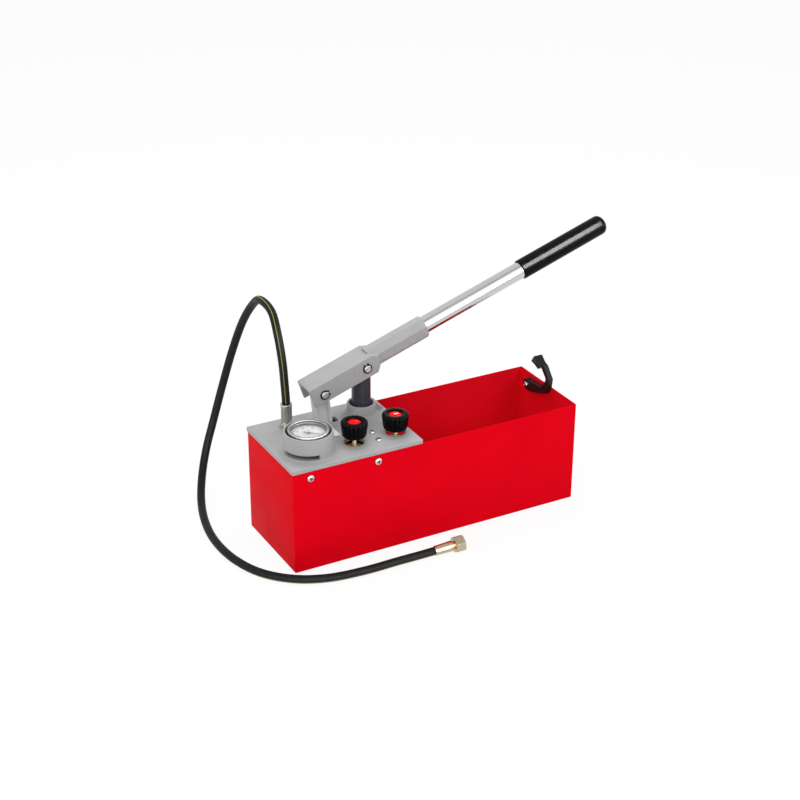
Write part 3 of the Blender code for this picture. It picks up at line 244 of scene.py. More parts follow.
def hose_rubber(name, first, second):
    """Dull rubber with a fine grain and a mottle between two colours."""
    made, tree, shader = principled(name, first, 0.5, specular=0.17)
    mottle = noise(tree, 90.0, 4.0)
    tree.links.new(tint(tree, mottle, first, second), shader.inputs["Base Color"])
    tree.links.new(between(tree, noise(tree, 260.0), 0.42, 0.62), shader.inputs["Roughness"])
    roughen(tree, shader, noise(tree, 1500.0, 5.0), 0.00012)
    return made


def mesh_from(shape, place=None):
    """A bmesh as a smooth shaded mesh, put in its place in the pump's own frame."""
    if isinstance(shape, bpy.types.Mesh):
        return shape
    if place is not None:
        bmesh.ops.transform(shape, matrix=place, verts=shape.verts)
    mesh = bpy.data.meshes.new("shape")
    shape.to_mesh(mesh)
    shape.free()
    mesh.shade_smooth()
    return mesh


def add_piece(name, shape, body, nodes=(), materials=()):
    """Put a bmesh or a mesh in the scene as a piece that rides on a body and stands for its nodes."""
    mesh = mesh_from(shape)
    mesh.name = name
    obj = bpy.data.objects.new(name, mesh)
    scene.collection.objects.link(obj)
    for made in materials:
        mesh.materials.append(made)
    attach(obj, body)
    if nodes:
        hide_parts(*nodes)
    return obj


def join_rings(shape, rings):
    """Faces from each ring of points to the next, and one over each end."""
    for lower, upper in zip(rings, rings[1:]):
        for i, point in enumerate(lower):
            shape.faces.new((lower[i - 1], point, upper[i], upper[i - 1]))
    for end in (rings[0], rings[-1]):
        shape.faces.new(end)
    bmesh.ops.recalc_face_normals(shape, faces=shape.faces)


HOSE_RADIUS = 0.0067
HOSE_SIDES = 72
HOSE_STEP = 0.004
HOSE_ROUTE = (
    (-0.2019, 0.0569, 0.2233),
    (-0.2027, 0.0569, 0.2400),
    (-0.2042, 0.0562, 0.2600),
    (-0.2095, 0.0503, 0.3001),
    (-0.2097, 0.0640, 0.3395),
    (-0.2056, 0.0942, 0.3669),
    (-0.2044, 0.1377, 0.3702),
    (-0.2014, 0.1751, 0.3492),
    (-0.2074, 0.2077, 0.3062),
    (-0.2184, 0.2308, 0.2464),
    (-0.2323, 0.2451, 0.1813),
    (-0.2491, 0.2493, 0.1207),
    (-0.2693, 0.2401, 0.0716),
    (-0.2896, 0.2141, 0.0359),
    (-0.3099, 0.1704, 0.0140),
    (-0.3259, 0.1142, 0.0070),
    (-0.3343, 0.0518, 0.0070),
    (-0.3293, -0.0111, 0.0070),
    (-0.3091, -0.0662, 0.0070),
    (-0.2709, -0.1073, 0.0070),
    (-0.2216, -0.1299, 0.0070),
    (-0.1620, -0.1373, 0.0070),
    (-0.1061, -0.1376, 0.0073),
    (-0.0728, -0.1386, 0.0077),
    (-0.0411, -0.1412, 0.0096),
)


def smooth_route(route, per_span=24):
    """Closely spaced points on one smooth curve through the route's points."""
    knots = [Vector(p) for p in route]
    knots = [2 * knots[0] - knots[1], *knots, 2 * knots[-1] - knots[-2]]
    points = []
    for a, b, c, d in zip(knots, knots[1:], knots[2:], knots[3:]):
        for i in range(per_span):
            t = i / per_span
            bend = 2 * a - 5 * b + 4 * c - d
            twist = 3 * b - a - 3 * c + d
            points.append((2 * b + (c - a) * t + bend * t**2 + twist * t**3) / 2)
    points.append(knots[-2])
    return points


def evenly(points, step):
    """The same curve with about one point a step, both ends kept, and its length."""
    lengths = [0.0]
    for a, b in zip(points, points[1:]):
        lengths.append(lengths[-1] + (b - a).length)
    count = round(lengths[-1] / step)
    spaced, j = [], 0
    for i in range(count + 1):
        goal = lengths[-1] * i / count
        while j < len(points) - 2 and lengths[j + 1] < goal:
            j += 1
        share = (goal - lengths[j]) / (lengths[j + 1] - lengths[j])
        spaced.append(points[j].lerp(points[j + 1], share))
    return spaced, lengths[-1]


hose_line, hose_length = evenly(smooth_route(HOSE_ROUTE), HOSE_STEP)
hose_shape = bmesh.new()
stripe_way = -FORWARD
rings, stripe_points = [], set()
for i, centre in enumerate(hose_line):
    before, after = hose_line[max(i - 1, 0)], hose_line[min(i + 1, len(hose_line) - 1)]
    along = (after - before).normalized()
    stripe_way = (stripe_way - along * along.dot(stripe_way)).normalized()
    axes = Matrix((stripe_way.cross(along), stripe_way, along)).transposed().to_4x4()
    ring = bmesh.ops.create_circle(
        hose_shape, cap_ends=False, radius=HOSE_RADIUS, segments=HOSE_SIDES,
        matrix=Matrix.Translation(centre) @ axes,
    )["verts"]
    stripe_points.add(max(ring, key=lambda v: (v.co - centre).dot(stripe_way)))
    rings.append(ring)
join_rings(hose_shape, rings)
for face in hose_shape.faces:
    face.smooth = len(face.verts) == 4
    face.material_index = int(len(face.verts) == 4 and any(v in stripe_points for v in face.verts))
hose_mesh = bpy.data.meshes.new("hose_cover")
hose_shape.to_mesh(hose_mesh)
hose_shape.free()
hose = add_piece(
    "hose_cover", hose_mesh, "pump_base", ["hose"],
    [
        hose_rubber("black hose rubber", (0.0042, 0.0045, 0.0052), (0.0077, 0.0081, 0.0091)),
        hose_rubber("yellow hose line", (0.26, 0.22, 0.04), (0.36, 0.31, 0.05)),
    ],
)


# Tank
# One sheet of 1.5 mm steel folded into an open box and welded at its corners, then
# powder coated red inside and out. The coat has a faint orange peel.
def powder_coat(name, colour, deep):
    """Baked powder paint, slightly cloudy, with a faint orange peel."""
    made, tree, shader = principled(name, colour, 0.36, specular=0.01)
    cloud = between(tree, noise(tree, 11.0, 4.0), 0.0, 1.0)
    tree.links.new(tint(tree, cloud, colour, deep), shader.inputs["Base Color"])
    tree.links.new(between(tree, noise(tree, 30.0), 0.30, 0.42), shader.inputs["Roughness"])
    roughen(tree, shader, noise(tree, 420.0, 2.0), 0.00007, 0.0005)
    return made


def round_edges(obj, width, segments=3, angle=30.0):
    """Round every edge that is sharper than the angle, and keep the faces between them flat."""
    ease = obj.modifiers.new("rounded edges", "BEVEL")
    ease.width = width
    ease.segments = segments
    ease.limit_method = "ANGLE"
    ease.angle_limit = math.radians(angle)
    ease.harden_normals = True
    return obj


TANK_LENGTH = 0.517
TANK_WIDTH = 0.170
TANK_HEIGHT = 0.175
TANK_SHEET = 0.0015
TANK_FOLD = 0.0025
RED, DEEP_RED = (0.72, 0.0006, 0.0085), (0.65, 0.0006, 0.0075)
# The inside is the same red coat painted lighter, as painted light on the walls inside the open box.
LIT_INSIDE_RED, DEEP_LIT_INSIDE_RED = (0.80, 0.006, 0.018), (0.73, 0.006, 0.016)

shape = bmesh.new()
tank_size = Matrix.Diagonal((TANK_LENGTH, TANK_WIDTH, TANK_HEIGHT, 1))
tank_place = Matrix.Translation((0, 0, TANK_HEIGHT / 2)) @ tank_size
bmesh.ops.create_cube(shape, size=1.0, matrix=tank_place)
lid = [face for face in shape.faces if face.normal.z > 0.9]
bmesh.ops.delete(shape, geom=lid, context="FACES_ONLY")
folds = [edge for edge in shape.edges if not edge.is_boundary]
bmesh.ops.bevel(
    shape, geom=folds, offset=TANK_FOLD, segments=6, affect="EDGES", profile=0.5, material=-1
)
tank = add_piece(
    "tank_shell", shape, "pump_base", ["tank"],
    [
        powder_coat("red powder coat", RED, DEEP_RED),
        powder_coat("red powder coat inside painted lighter", LIT_INSIDE_RED, DEEP_LIT_INSIDE_RED),
    ],
)
sheet = tank.modifiers.new("sheet", "SOLIDIFY")
sheet.material_offset = 1
sheet.thickness = TANK_SHEET
sheet.offset = -1.0
sheet.use_even_offset = True
round_edges(tank, 0.0003, 2, 40.0)


# Top plate
# An aluminium casting, coated silver grey. The round shield for the gauge, the pump's
# boss with its three webs and the boss for the hose all stand up from a 6 mm plate.
def cast_paint(name, colour, deep):
    """Satin paint over the grain of a sand casting."""
    made, tree, shader = principled(name, colour, 0.48, 0.0, 0.18)
    cloud = between(tree, noise(tree, 38.0, 5.0), 0.0, 1.0)
    tree.links.new(tint(tree, cloud, colour, deep), shader.inputs["Base Color"])
    tree.links.new(between(tree, noise(tree, 160.0), 0.40, 0.56), shader.inputs["Roughness"])
    roughen(tree, shader, noise(tree, 1300.0, 5.0), 0.00011, 0.0010)
    return made


def turned(profile, place=None, steps=48, shape=None):
    """Spin a profile of (radius, height) points about Z, as a closed shell of its own or in a shape.

    A profile that starts off the axis is the section of a ring, and its last point joins its first.
    """
    shape = bmesh.new() if shape is None else shape
    if profile[0][0] > 0:
        profile = [*profile, profile[0]]
    points = [shape.verts.new((radius, 0.0, height)) for radius, height in profile]
    lines = [shape.edges.new(pair) for pair in zip(points, points[1:])]
    before = set(shape.verts) - set(points)
    bmesh.ops.spin(
        shape, geom=points + lines, cent=(0, 0, 0), axis=(0, 0, 1), dvec=(0, 0, 0),
        angle=math.tau, steps=steps, use_merge=True, use_duplicate=False,
    )
    made = [vert for vert in shape.verts if vert not in before]
    bmesh.ops.remove_doubles(shape, verts=made, dist=0.0000005)
    made = [vert for vert in shape.verts if vert not in before]
    faces = list({face for vert in made for face in vert.link_faces})
    bmesh.ops.recalc_face_normals(shape, faces=faces)
    if place is not None:
        bmesh.ops.transform(shape, matrix=place, verts=made)
    return shape


def block(low, high, corner=0.0, segments=4, shape=None):
    """A block between two corners, with its upright edges rounded where it has a corner radius."""
    shape = bmesh.new() if shape is None else shape
    low, high = Vector(low), Vector(high)
    place = Matrix.Translation((low + high) / 2) @ Matrix.Diagonal((*(high - low), 1))
    made = bmesh.ops.create_cube(shape, size=1.0, matrix=place)["verts"]
    if corner:
        edges = {edge for vert in made for edge in vert.link_edges}
        upright = [e for e in edges if (e.verts[0].co - e.verts[1].co).xy.length < 1e-6]
        bmesh.ops.bevel(
            shape, geom=upright, offset=corner, segments=segments, affect="EDGES", profile=0.5,
            material=-1,
        )
    return shape


def plate(outline, thickness, place, shape=None):
    """An outline of (x, y) points filled and given a thickness, half of it each way along Z."""
    shape = bmesh.new() if shape is None else shape
    rim = [shape.verts.new((x, y, -thickness / 2)) for x, y in outline]
    face = shape.faces.new(rim)
    raised = bmesh.ops.extrude_face_region(shape, geom=[face])["geom"]
    top = [part for part in raised if isinstance(part, bmesh.types.BMVert)]
    bmesh.ops.translate(shape, vec=(0, 0, thickness), verts=top)
    made = rim + top
    faces = list({face for vert in made for face in vert.link_faces})
    bmesh.ops.recalc_face_normals(shape, faces=faces)
    bmesh.ops.transform(shape, matrix=place, verts=made)
    return shape


def changed(solid, operation, others):
    """A bmesh or a mesh, as the mesh that it is after the same boolean with each of the others."""
    helper = bpy.data.objects.new("changed", mesh_from(solid))
    scene.collection.objects.link(helper)
    for other in others:
        tool = bpy.data.objects.new("tool", mesh_from(other))
        scene.collection.objects.link(tool)
        change = helper.modifiers.new("change", "BOOLEAN")
        change.operation = operation
        change.solver = "EXACT"
        change.object = tool
    graph = bpy.context.evaluated_depsgraph_get()
    made = bpy.data.meshes.new_from_object(helper.evaluated_get(graph))
    for change in list(helper.modifiers):
        bpy.data.objects.remove(change.object)
    bpy.data.objects.remove(helper)
    return made


def carve(solid, *cutters):
    """The solid with each cutter taken away from it."""
    made = changed(solid, "DIFFERENCE", cutters)
    made.shade_smooth()
    return made


def united(solid, *others):
    """The solid with each of the others joined to it."""
    return changed(solid, "UNION", others)


def arc(centre, radius, start, end, count):
    """Points on an arc, its angles in degrees."""
    for i in range(count + 1):
        angle = math.radians(start + (end - start) * i / count)
        yield (centre[0] + radius * math.cos(angle), centre[1] + radius * math.sin(angle))


PLATE_BOTTOM, PLATE_TOP = 0.1753, 0.1813
PLATE_LEFT, PLATE_RIGHT, PLATE_HALF_WIDTH = -0.260, -0.032, 0.0865
PLATE_CORNER = 0.003
UNDER_PLATE, OVER_PLATE = 0.17, 0.19
PLATE_ROOT = PLATE_TOP - 0.001
PUMP_HOLE, STEM_HOLE = 0.0200, 0.012
LINK_SLOT_LEFT, LINK_SLOT_RIGHT, LINK_SLOT_HALF, LINK_SLOT_CORNER = -0.166, -0.1185, 0.009, 0.005
GAUGE_X, GAUGE_Y = -0.206, -0.032
PUMP_X, PUMP_Y = -0.074, 0.0455
HOSE_X, HOSE_Y = -0.2019, 0.0569
KNOB_XS = (-0.1302, -0.0571)
KNOB_Y = -0.0394
KNOB_HOLE = 0.0157
GREY = (0.357, 0.357, 0.358)
DEEP_GREY = (0.331, 0.331, 0.332)
gauge_axis = Matrix.Translation((GAUGE_X, GAUGE_Y, 0))
pump_axis = Matrix.Translation((PUMP_X, PUMP_Y, 0))
grey_cast = cast_paint("silver grey casting", GREY, DEEP_GREY)

slab_shape = block(
    (PLATE_LEFT, -PLATE_HALF_WIDTH, PLATE_BOTTOM), (PLATE_RIGHT, PLATE_HALF_WIDTH, PLATE_TOP),
    PLATE_CORNER, 6,
)
rim = KNOB_HOLE + 0.0019
hole = [
    (0, UNDER_PLATE), (KNOB_HOLE, UNDER_PLATE), (KNOB_HOLE, PLATE_TOP - 0.0009), (rim, PLATE_TOP + 0.001),
    (rim, OVER_PLATE), (0, OVER_PLATE),
]
holes = [turned(hole, Matrix.Translation((x, KNOB_Y, 0)), 96) for x in KNOB_XS]
for stand, radius in ((pump_axis, PUMP_HOLE), (gauge_axis, STEM_HOLE)):
    hole = [(0, UNDER_PLATE), (radius, UNDER_PLATE), (radius, OVER_PLATE), (0, OVER_PLATE)]
    holes.append(turned(hole, stand, 96))
slot = block(
    (LINK_SLOT_LEFT, PUMP_Y - LINK_SLOT_HALF, UNDER_PLATE),
    (LINK_SLOT_RIGHT, PUMP_Y + LINK_SLOT_HALF, OVER_PLATE), LINK_SLOT_CORNER, 8,
)
slab = add_piece(
    "top_plate_slab", carve(slab_shape, *holes, slot), "pump_base", ["top_plate"],
    [grey_cast],
)
round_edges(slab, 0.0011, 3, 40.0)

COLLAR_OUTER, COLLAR_WAIST, COLLAR_FOOT = 0.039, 0.0412, 0.0455
COLLAR_INNER, COLLAR_TOP, FOOT_RISE = 0.0365, 0.217, 0.0045
DRAIN_REACH, DRAIN_BOTTOM, DRAIN_TOP = 0.05, 0.184, 0.1915
foot_curve = [
    (
        COLLAR_FOOT - (COLLAR_FOOT - COLLAR_WAIST) * math.sin(turn),
        PLATE_TOP + FOOT_RISE * (1 - math.cos(turn)),
    )
    for turn in (math.radians(15 * i) for i in range(7))
]
wall = foot_curve + [
    (COLLAR_OUTER, COLLAR_TOP - 0.0009),
    (COLLAR_OUTER - 0.0003, COLLAR_TOP - 0.0003),
    (COLLAR_OUTER - 0.0009, COLLAR_TOP),
    (COLLAR_INNER + 0.0006, COLLAR_TOP),
    (COLLAR_INNER + 0.0001, COLLAR_TOP - 0.0004),
    (COLLAR_INNER, COLLAR_TOP - 0.001),
    (COLLAR_INNER, PLATE_ROOT),
    (COLLAR_FOOT, PLATE_ROOT),
]
drain = block(
    (GAUGE_X - DRAIN_REACH, GAUGE_Y - DRAIN_REACH, DRAIN_BOTTOM),
    (GAUGE_X - 0.0003, GAUGE_Y - 0.0003, DRAIN_TOP),
)
collar = add_piece(
    "gauge_collar", carve(turned(wall, gauge_axis, 160), drain), "pump_base", (),
    [grey_cast],
)
collar.data.set_sharp_from_angle(angle=math.radians(50))

BOSS_TOP, BOSS_RADIUS, BOSS_FOOT = 0.2005, 0.0236, 0.0280
HOSE_BOSS, HOSE_BOSS_TOP = 0.0125, 0.1843
# Each web's heading in degrees, its reach from the pump's axis and its height on the boss
WEBS = ((0, 0.0385, 0.0170), (180, 0.037, 0.0150), (44, 0.050, 0.0160))
WEB_ROOT, WEB_THICKNESS = 0.0205, 0.0055
boss = [
    (BOSS_FOOT, PLATE_ROOT), (BOSS_FOOT, PLATE_TOP), (0.0264, PLATE_TOP + 0.0004),
    (0.0251, PLATE_TOP + 0.0014), (0.0243, PLATE_TOP + 0.0032), (0.0238, PLATE_TOP + 0.0065),
    (BOSS_RADIUS, BOSS_TOP - 0.0018), (BOSS_RADIUS - 0.0005, BOSS_TOP - 0.0005),
    (BOSS_RADIUS - 0.0016, BOSS_TOP), (PUMP_HOLE, BOSS_TOP), (0.0194, BOSS_TOP - 0.0006),
    (0.0193, PLATE_ROOT),
]
shape = turned(boss, pump_axis, 128)
for heading, reach, height in WEBS:
    web = [
        (WEB_ROOT, PLATE_ROOT), (reach, PLATE_ROOT), (reach, PLATE_TOP + 0.0004),
        (BOSS_RADIUS - 0.0006, PLATE_TOP + height), (WEB_ROOT, PLATE_TOP + height),
    ]
    stand = pump_axis @ Matrix.Rotation(math.radians(heading), 4, "Z")
    plate(web, WEB_THICKNESS, stand @ Matrix.Rotation(math.pi / 2, 4, "X"), shape)
ring = [
    (HOSE_BOSS, PLATE_ROOT), (HOSE_BOSS, HOSE_BOSS_TOP - 0.0005), (HOSE_BOSS - 0.0005, HOSE_BOSS_TOP),
    (0, HOSE_BOSS_TOP), (0, PLATE_ROOT),
]
turned(ring, Matrix.Translation((HOSE_X, HOSE_Y, 0)), 64, shape)
bosses = add_piece("plate_bosses", shape, "pump_base", (), [grey_cast])
round_edges(bosses, 0.0009, 3, 40.0)

SCREW_XS = (-0.229, -0.112)
LUG_OUTER, LUG_INNER, LUG_HALF, LUG_BOTTOM = 0.0832, 0.0677, 0.009, 0.153
ANCHOR_X, ANCHOR_Z = -0.140, 0.1565
CHEEK_RADIUS, CHEEK_HALF_FOOT, CHEEK_ROOT, CHEEK_Y, CHEEK_THICKNESS = 0.0105, 0.015, 0.1760, 0.0115, 0.005
shape = bmesh.new()
for x in SCREW_XS:
    for side in (-1, 1):
        near, far = sorted((side * LUG_OUTER, side * LUG_INNER))
        block(
            (x - LUG_HALF, near, LUG_BOTTOM), (x + LUG_HALF, far, PLATE_BOTTOM + 0.001), shape=shape
        )
cheek = list(arc((ANCHOR_X, ANCHOR_Z), CHEEK_RADIUS, 180, 360, 32))
cheek += [(ANCHOR_X + CHEEK_HALF_FOOT, CHEEK_ROOT), (ANCHOR_X - CHEEK_HALF_FOOT, CHEEK_ROOT)]
for side in (-1, 1):
    stand = Matrix.Translation((0, PUMP_Y + side * CHEEK_Y, 0)) @ Matrix.Rotation(math.pi / 2, 4, "X")
    plate(cheek, CHEEK_THICKNESS, stand, shape)
lugs = add_piece("plate_lugs", shape, "pump_base", (), [grey_cast])
round_edges(lugs, 0.0008, 2, 40.0)


# Machined pad
# The one face of the casting that is milled bare, beside the gauge. It carries the cutter's fine parallel
# lines, and its shine is painted sheen: a near white colour that is barely metallic.
def worked_metal(name, colour, deep, roughness, stretch, turn=(0.0, 0.0, 0.0), scale=900.0, depth=0.00002):
    """Bare or plated metal with the fine lines of a tool, and a faint cloud of handling."""
    made, tree, shader = principled(name, colour, roughness, 1.0)
    lines = noise(tree, scale, 4.0, stretch, turn)
    cloud = noise(tree, 55.0, 4.0)
    tree.links.new(tint(tree, between(tree, cloud, 0.0, 1.0), colour, deep), shader.inputs["Base Color"])
    tree.links.new(
        between(tree, lines, roughness * 0.75, roughness * 1.35), shader.inputs["Roughness"]
    )
    roughen(tree, shader, lines, depth, 0.0004)
    return made


PAD_LOW, PAD_HIGH, PAD_CORNER = (-0.165, -0.012, PLATE_ROOT), (-0.140, 0.0305, PLATE_TOP + 0.002), 0.002
# The near white colour is painted sheen, standing in for the milled face's shine.
milled = worked_metal("milled aluminium with painted sheen", (0.90, 0.90, 0.90), (0.84, 0.84, 0.84), 0.50, (60.0, 1.0, 1.0))
milled.node_tree.nodes["Principled BSDF"].inputs["Metallic"].default_value = 0.15
pad_shape = block(PAD_LOW, PAD_HIGH, PAD_CORNER, 6)
pad = add_piece("machined_pad", pad_shape, "pump_base", (), [milled])
round_edges(pad, 0.0005, 2)


# Plate screws
# Four zinc plated pan head screws with a cross recess. They pass through the tank's long
# sides and into the lugs under the plate.
def turn_piece(name, profile, place, body, nodes, finish, ease=0.0003, steps=64):
    """A turned piece with its corners eased, put in its place."""
    obj = add_piece(name, turned(profile, place, steps), body, nodes, [finish])
    return round_edges(obj, ease, 2) if ease else obj


def at(spot, *turns):
    """A place in the pump's frame: a point, then turns in degrees about named axes."""
    made = Matrix.Translation(spot)
    for degrees, axis in turns:
        made = made @ Matrix.Rotation(math.radians(degrees), 4, axis)
    return made


def plain(name, colour, deep, roughness, specular, grain, depth, soft_edges=0.0004):
    """A moulded plastic or rubber with a fine grain and a little unevenness in its shine."""
    made, tree, shader = principled(name, colour, roughness, specular=specular)
    cloud = between(tree, noise(tree, grain / 12), 0.0, 1.0)
    tree.links.new(tint(tree, cloud, colour, deep), shader.inputs["Base Color"])
    shine = between(tree, noise(tree, grain / 4), roughness * 0.85, roughness * 1.2)
    tree.links.new(shine, shader.inputs["Roughness"])
    roughen(tree, shader, noise(tree, grain, 4.0), depth, soft_edges)
    return made


def cross_recess(length, width, top, depth):
    """The cutters of a cross recess, two bars with sloping ends."""
    for turn in (45, 135):
        low, high = top - depth, top + 0.002
        outline = [(-length * 0.32, low), (length * 0.32, low), (length * 0.62, high), (-length * 0.62, high)]
        yield plate(outline, width, at((0, 0, 0), (turn, "Z"), (90, "X")))


zinc = worked_metal("zinc plated steel", (0.62, 0.62, 0.60), (0.50, 0.51, 0.50), 0.24, (1.0, 1.0, 1.0))
# Near black, painted into the screw heads' cross recesses as their shade.
recess_shade = plain("painted recess shade", (0.02, 0.02, 0.02), (0.03, 0.03, 0.03), 0.6, 0.2, 900.0, 0.00001, 0)


def shade_recess(mesh, reach, floor):
    """Give the faces inside a screw head's recess the second material, which paints their shade."""
    for face in mesh.polygons:
        inside = face.center.xy.length < reach and face.center.z > 0.0002
        face.material_index = int(inside and (face.normal.z < 0.6 or face.center.z < floor))


def head_dome(radius, base, rise, fullness):
    """The profile of a screw head's dome, from its top to its rim."""
    angles = [math.radians(t) for t in range(0, 86, 9)]
    return [(radius * math.sin(t), base + rise * math.cos(t) ** fullness) for t in angles]


SCREW_FACE, SCREW_Z = 0.0853, 0.163
HEAD_RADIUS, HEAD_EDGE, SHANK_RADIUS, SHANK_LENGTH = 0.006, 0.0004, 0.0027, 0.015
shank = [
    (HEAD_RADIUS, HEAD_EDGE), (HEAD_RADIUS, 0), (SHANK_RADIUS, 0), (SHANK_RADIUS, -SHANK_LENGTH),
    (0, -SHANK_LENGTH),
]
screw_solid = turned(head_dome(HEAD_RADIUS, HEAD_EDGE, 0.0029, 0.8) + shank)
screw_mesh = carve(screw_solid, *cross_recess(0.0080, 0.0017, 0.0033, 0.0023))
shade_recess(screw_mesh, 0.0040, 0.0019)
for i, x in enumerate(SCREW_XS):
    for side, word in ((-1, "front"), (1, "back")):
        mesh = screw_mesh.copy()
        mesh.transform(at((x, side * SCREW_FACE, SCREW_Z), (-90 * side, "X"), (20 + 35 * i, "Z")))
        # The second material paints the shade in each cross recess.
        screw = add_piece(
            f"plate_screw_head_{word}_{i + 1}", mesh, "pump_base", [f"plate_screw_{word}_{i + 1}"],
            [zinc, recess_shade],
        )
        screw.data.set_sharp_from_angle(angle=math.radians(40))


# Pump barrel
# A steel cylinder screwed up into the plate's boss. Its neck holds a brass gland ring and a
# blue polyurethane wiper, and the brass suction valve and its strainer hang from its foot.
steel = worked_metal("turned steel", (0.52, 0.52, 0.51), (0.42, 0.42, 0.42), 0.34, (1.0, 1.0, 0.03))
brass = worked_metal("machined brass", (0.90, 0.66, 0.32), (0.78, 0.54, 0.24), 0.36, (1.0, 1.0, 0.04))
wiper_blue = plain("blue polyurethane", (0.006, 0.013, 0.06), (0.005, 0.010, 0.05), 0.35, 0.3, 900.0, 0.00003)
# Dark blackened steel: the plunger's own finish, and on the barrel a painted shade for the dim space under
# the plate.
blackened = worked_metal(
    "blackened steel", (0.044, 0.047, 0.055), (0.036, 0.039, 0.046), 0.34, (1.0, 1.0, 0.02), scale=700.0,
)
blackened.node_tree.nodes["Principled BSDF"].inputs["Metallic"].default_value = 0.3
CYLINDER_BORE, CYLINDER_RADIUS, NECK_RADIUS = 0.0162, 0.0215, 0.0190
CYLINDER_TOP, CYLINDER_SHOULDER, CYLINDER_FLOOR, CYLINDER_BOTTOM = 0.1855, 0.1748, 0.0653, 0.0603
SUCTION_BORE, SEAL_BORE, SEAL_MOUTH = 0.008, 0.0159, 0.0167
barrel = [
    (CYLINDER_BORE, CYLINDER_TOP), (NECK_RADIUS, CYLINDER_TOP), (NECK_RADIUS, CYLINDER_SHOULDER),
    (CYLINDER_RADIUS, CYLINDER_SHOULDER), (CYLINDER_RADIUS, CYLINDER_BOTTOM), (SUCTION_BORE, CYLINDER_BOTTOM),
    (SUCTION_BORE, CYLINDER_FLOOR), (CYLINDER_BORE, CYLINDER_FLOOR),
]
# The barrel's dark steel is painted shade, for the dim space under the plate.
turn_piece(
    "barrel", barrel, pump_axis, "pump_base", ["pump_cylinder"], blackened,
    0.0005, 96,
)
gland = [
    (SEAL_MOUTH, 0.1888), (NECK_RADIUS, 0.1888), (NECK_RADIUS, 0.1858), (SEAL_BORE, 0.1858),
    (SEAL_BORE, 0.1880),
]
turn_piece(
    "packing_gland", gland, pump_axis, "pump_base", ["gland_ring"], brass, 0.0002, 96
)
wiper = [
    (SEAL_MOUTH, 0.1945), (NECK_RADIUS, 0.1945), (NECK_RADIUS, 0.1891), (SEAL_BORE, 0.1891),
    (SEAL_BORE, 0.2002), (0.0166, 0.2000), (0.0168, 0.1992),
]
turn_piece(
    "wiper_ring", wiper, pump_axis, "pump_base", ["rod_wiper"], wiper_blue, 0, 96
)


def prism(radius, depth, place, sides=48, shape=None):
    """A round bar, or one with few sides, that lies along its place's Z with its middle there."""
    shape = bmesh.new() if shape is None else shape
    bmesh.ops.create_cone(
        shape, cap_ends=True, segments=sides, radius1=radius, radius2=radius, depth=depth, matrix=place
    )
    return shape


SUCTION_HEX, SUCTION_HEX_DEPTH = 0.036 / math.sqrt(3), 0.014
stem = [
    (0, 0.065), (0.0077, 0.065), (0.0077, 0.0588), (0.0128, 0.0588), (0.013, 0.047), (0.009, 0.044),
    (0.009, 0.022), (0, 0.022),
]
shape = turned(stem, pump_axis, 64)
prism(SUCTION_HEX, SUCTION_HEX_DEPTH, pump_axis @ Matrix.Translation((0, 0, 0.053)), 6, shape)
suction = add_piece(
    "suction_body", shape, "pump_base", ["suction_valve"], [brass]
)
round_edges(suction, 0.0006)

SLIT_PAIRS, SLIT_REACH, SLIT_HALF, SLIT_BOTTOM, SLIT_TOP = 8, 0.02, 0.0008, 0.0105, 0.0265
screen = [
    (0, 0.0082), (0.0138, 0.0082), (0.0138, 0.0288), (0.0093, 0.0288), (0.0093, 0.030),
    (0.0144, 0.030), (0.015, 0.0294), (0.015, 0.0076), (0.0144, 0.007), (0, 0.007),
]
slits = []
for i in range(SLIT_PAIRS):
    slit = block((-SLIT_REACH, -SLIT_HALF, SLIT_BOTTOM), (SLIT_REACH, SLIT_HALF, SLIT_TOP))
    heading = pump_axis @ Matrix.Rotation(math.pi * (i + 0.5) / SLIT_PAIRS, 4, "Z")
    bmesh.ops.transform(slit, matrix=heading, verts=slit.verts)
    slits.append(slit)
basket = add_piece(
    "strainer_basket", carve(turned(screen, pump_axis, 96), *slits), "pump_base", ["suction_strainer"],
    [brass],
)
basket.data.set_sharp_from_angle(angle=math.radians(35))


# Plunger
# A ground steel rod, blackened, with a domed head that takes the lever's pin and a rubber
# packing ring in a groove near its foot.
PIN_Z, PLUNGER_FOOT = 0.269, 0.120
PLUNGER_RADIUS, PIN_EYE, DOME_RADIUS, GROOVE_RADIUS = 0.0156, 0.0063, 0.0105, 0.0135
lever_pin = Matrix.Translation((PUMP_X, PUMP_Y, PIN_Z))
packing_rubber = plain("packing rubber", (0.02, 0.02, 0.02), (0.03, 0.03, 0.03), 0.6, 0.4, 1200.0, 0.00004)
foot = PLUNGER_FOOT - PIN_Z
angles = [math.radians(t) for t in range(0, 46, 9)]
dome = [(DOME_RADIUS * math.sin(t), DOME_RADIUS * math.cos(t)) for t in angles]
rod_profile = dome + [
    (PLUNGER_RADIUS, -0.00075), (PLUNGER_RADIUS, foot + 0.0135), (GROOVE_RADIUS, foot + 0.0135),
    (GROOVE_RADIUS, foot + 0.0045), (PLUNGER_RADIUS, foot + 0.0045), (PLUNGER_RADIUS, foot + 0.001),
    (PLUNGER_RADIUS - 0.001, foot), (0, foot),
]
eye = prism(PIN_EYE, 0.05, at((PUMP_X, PUMP_Y, PIN_Z), (90, "X")))
plunger = add_piece(
    "plunger_rod", carve(turned(rod_profile, lever_pin, 96), eye), "plunger", ["plunger"],
    [blackened],
)
plunger.data.set_sharp_from_angle(angle=math.radians(32))
loop = [(0.0138, foot + 0.0132), (0.0159, foot + 0.0132), (0.0159, foot + 0.0048), (0.0138, foot + 0.0048)]
turn_piece(
    "packing_ring", loop, lever_pin, "plunger", ["plunger_packing"],
    packing_rubber, 0.0004, 96,
)


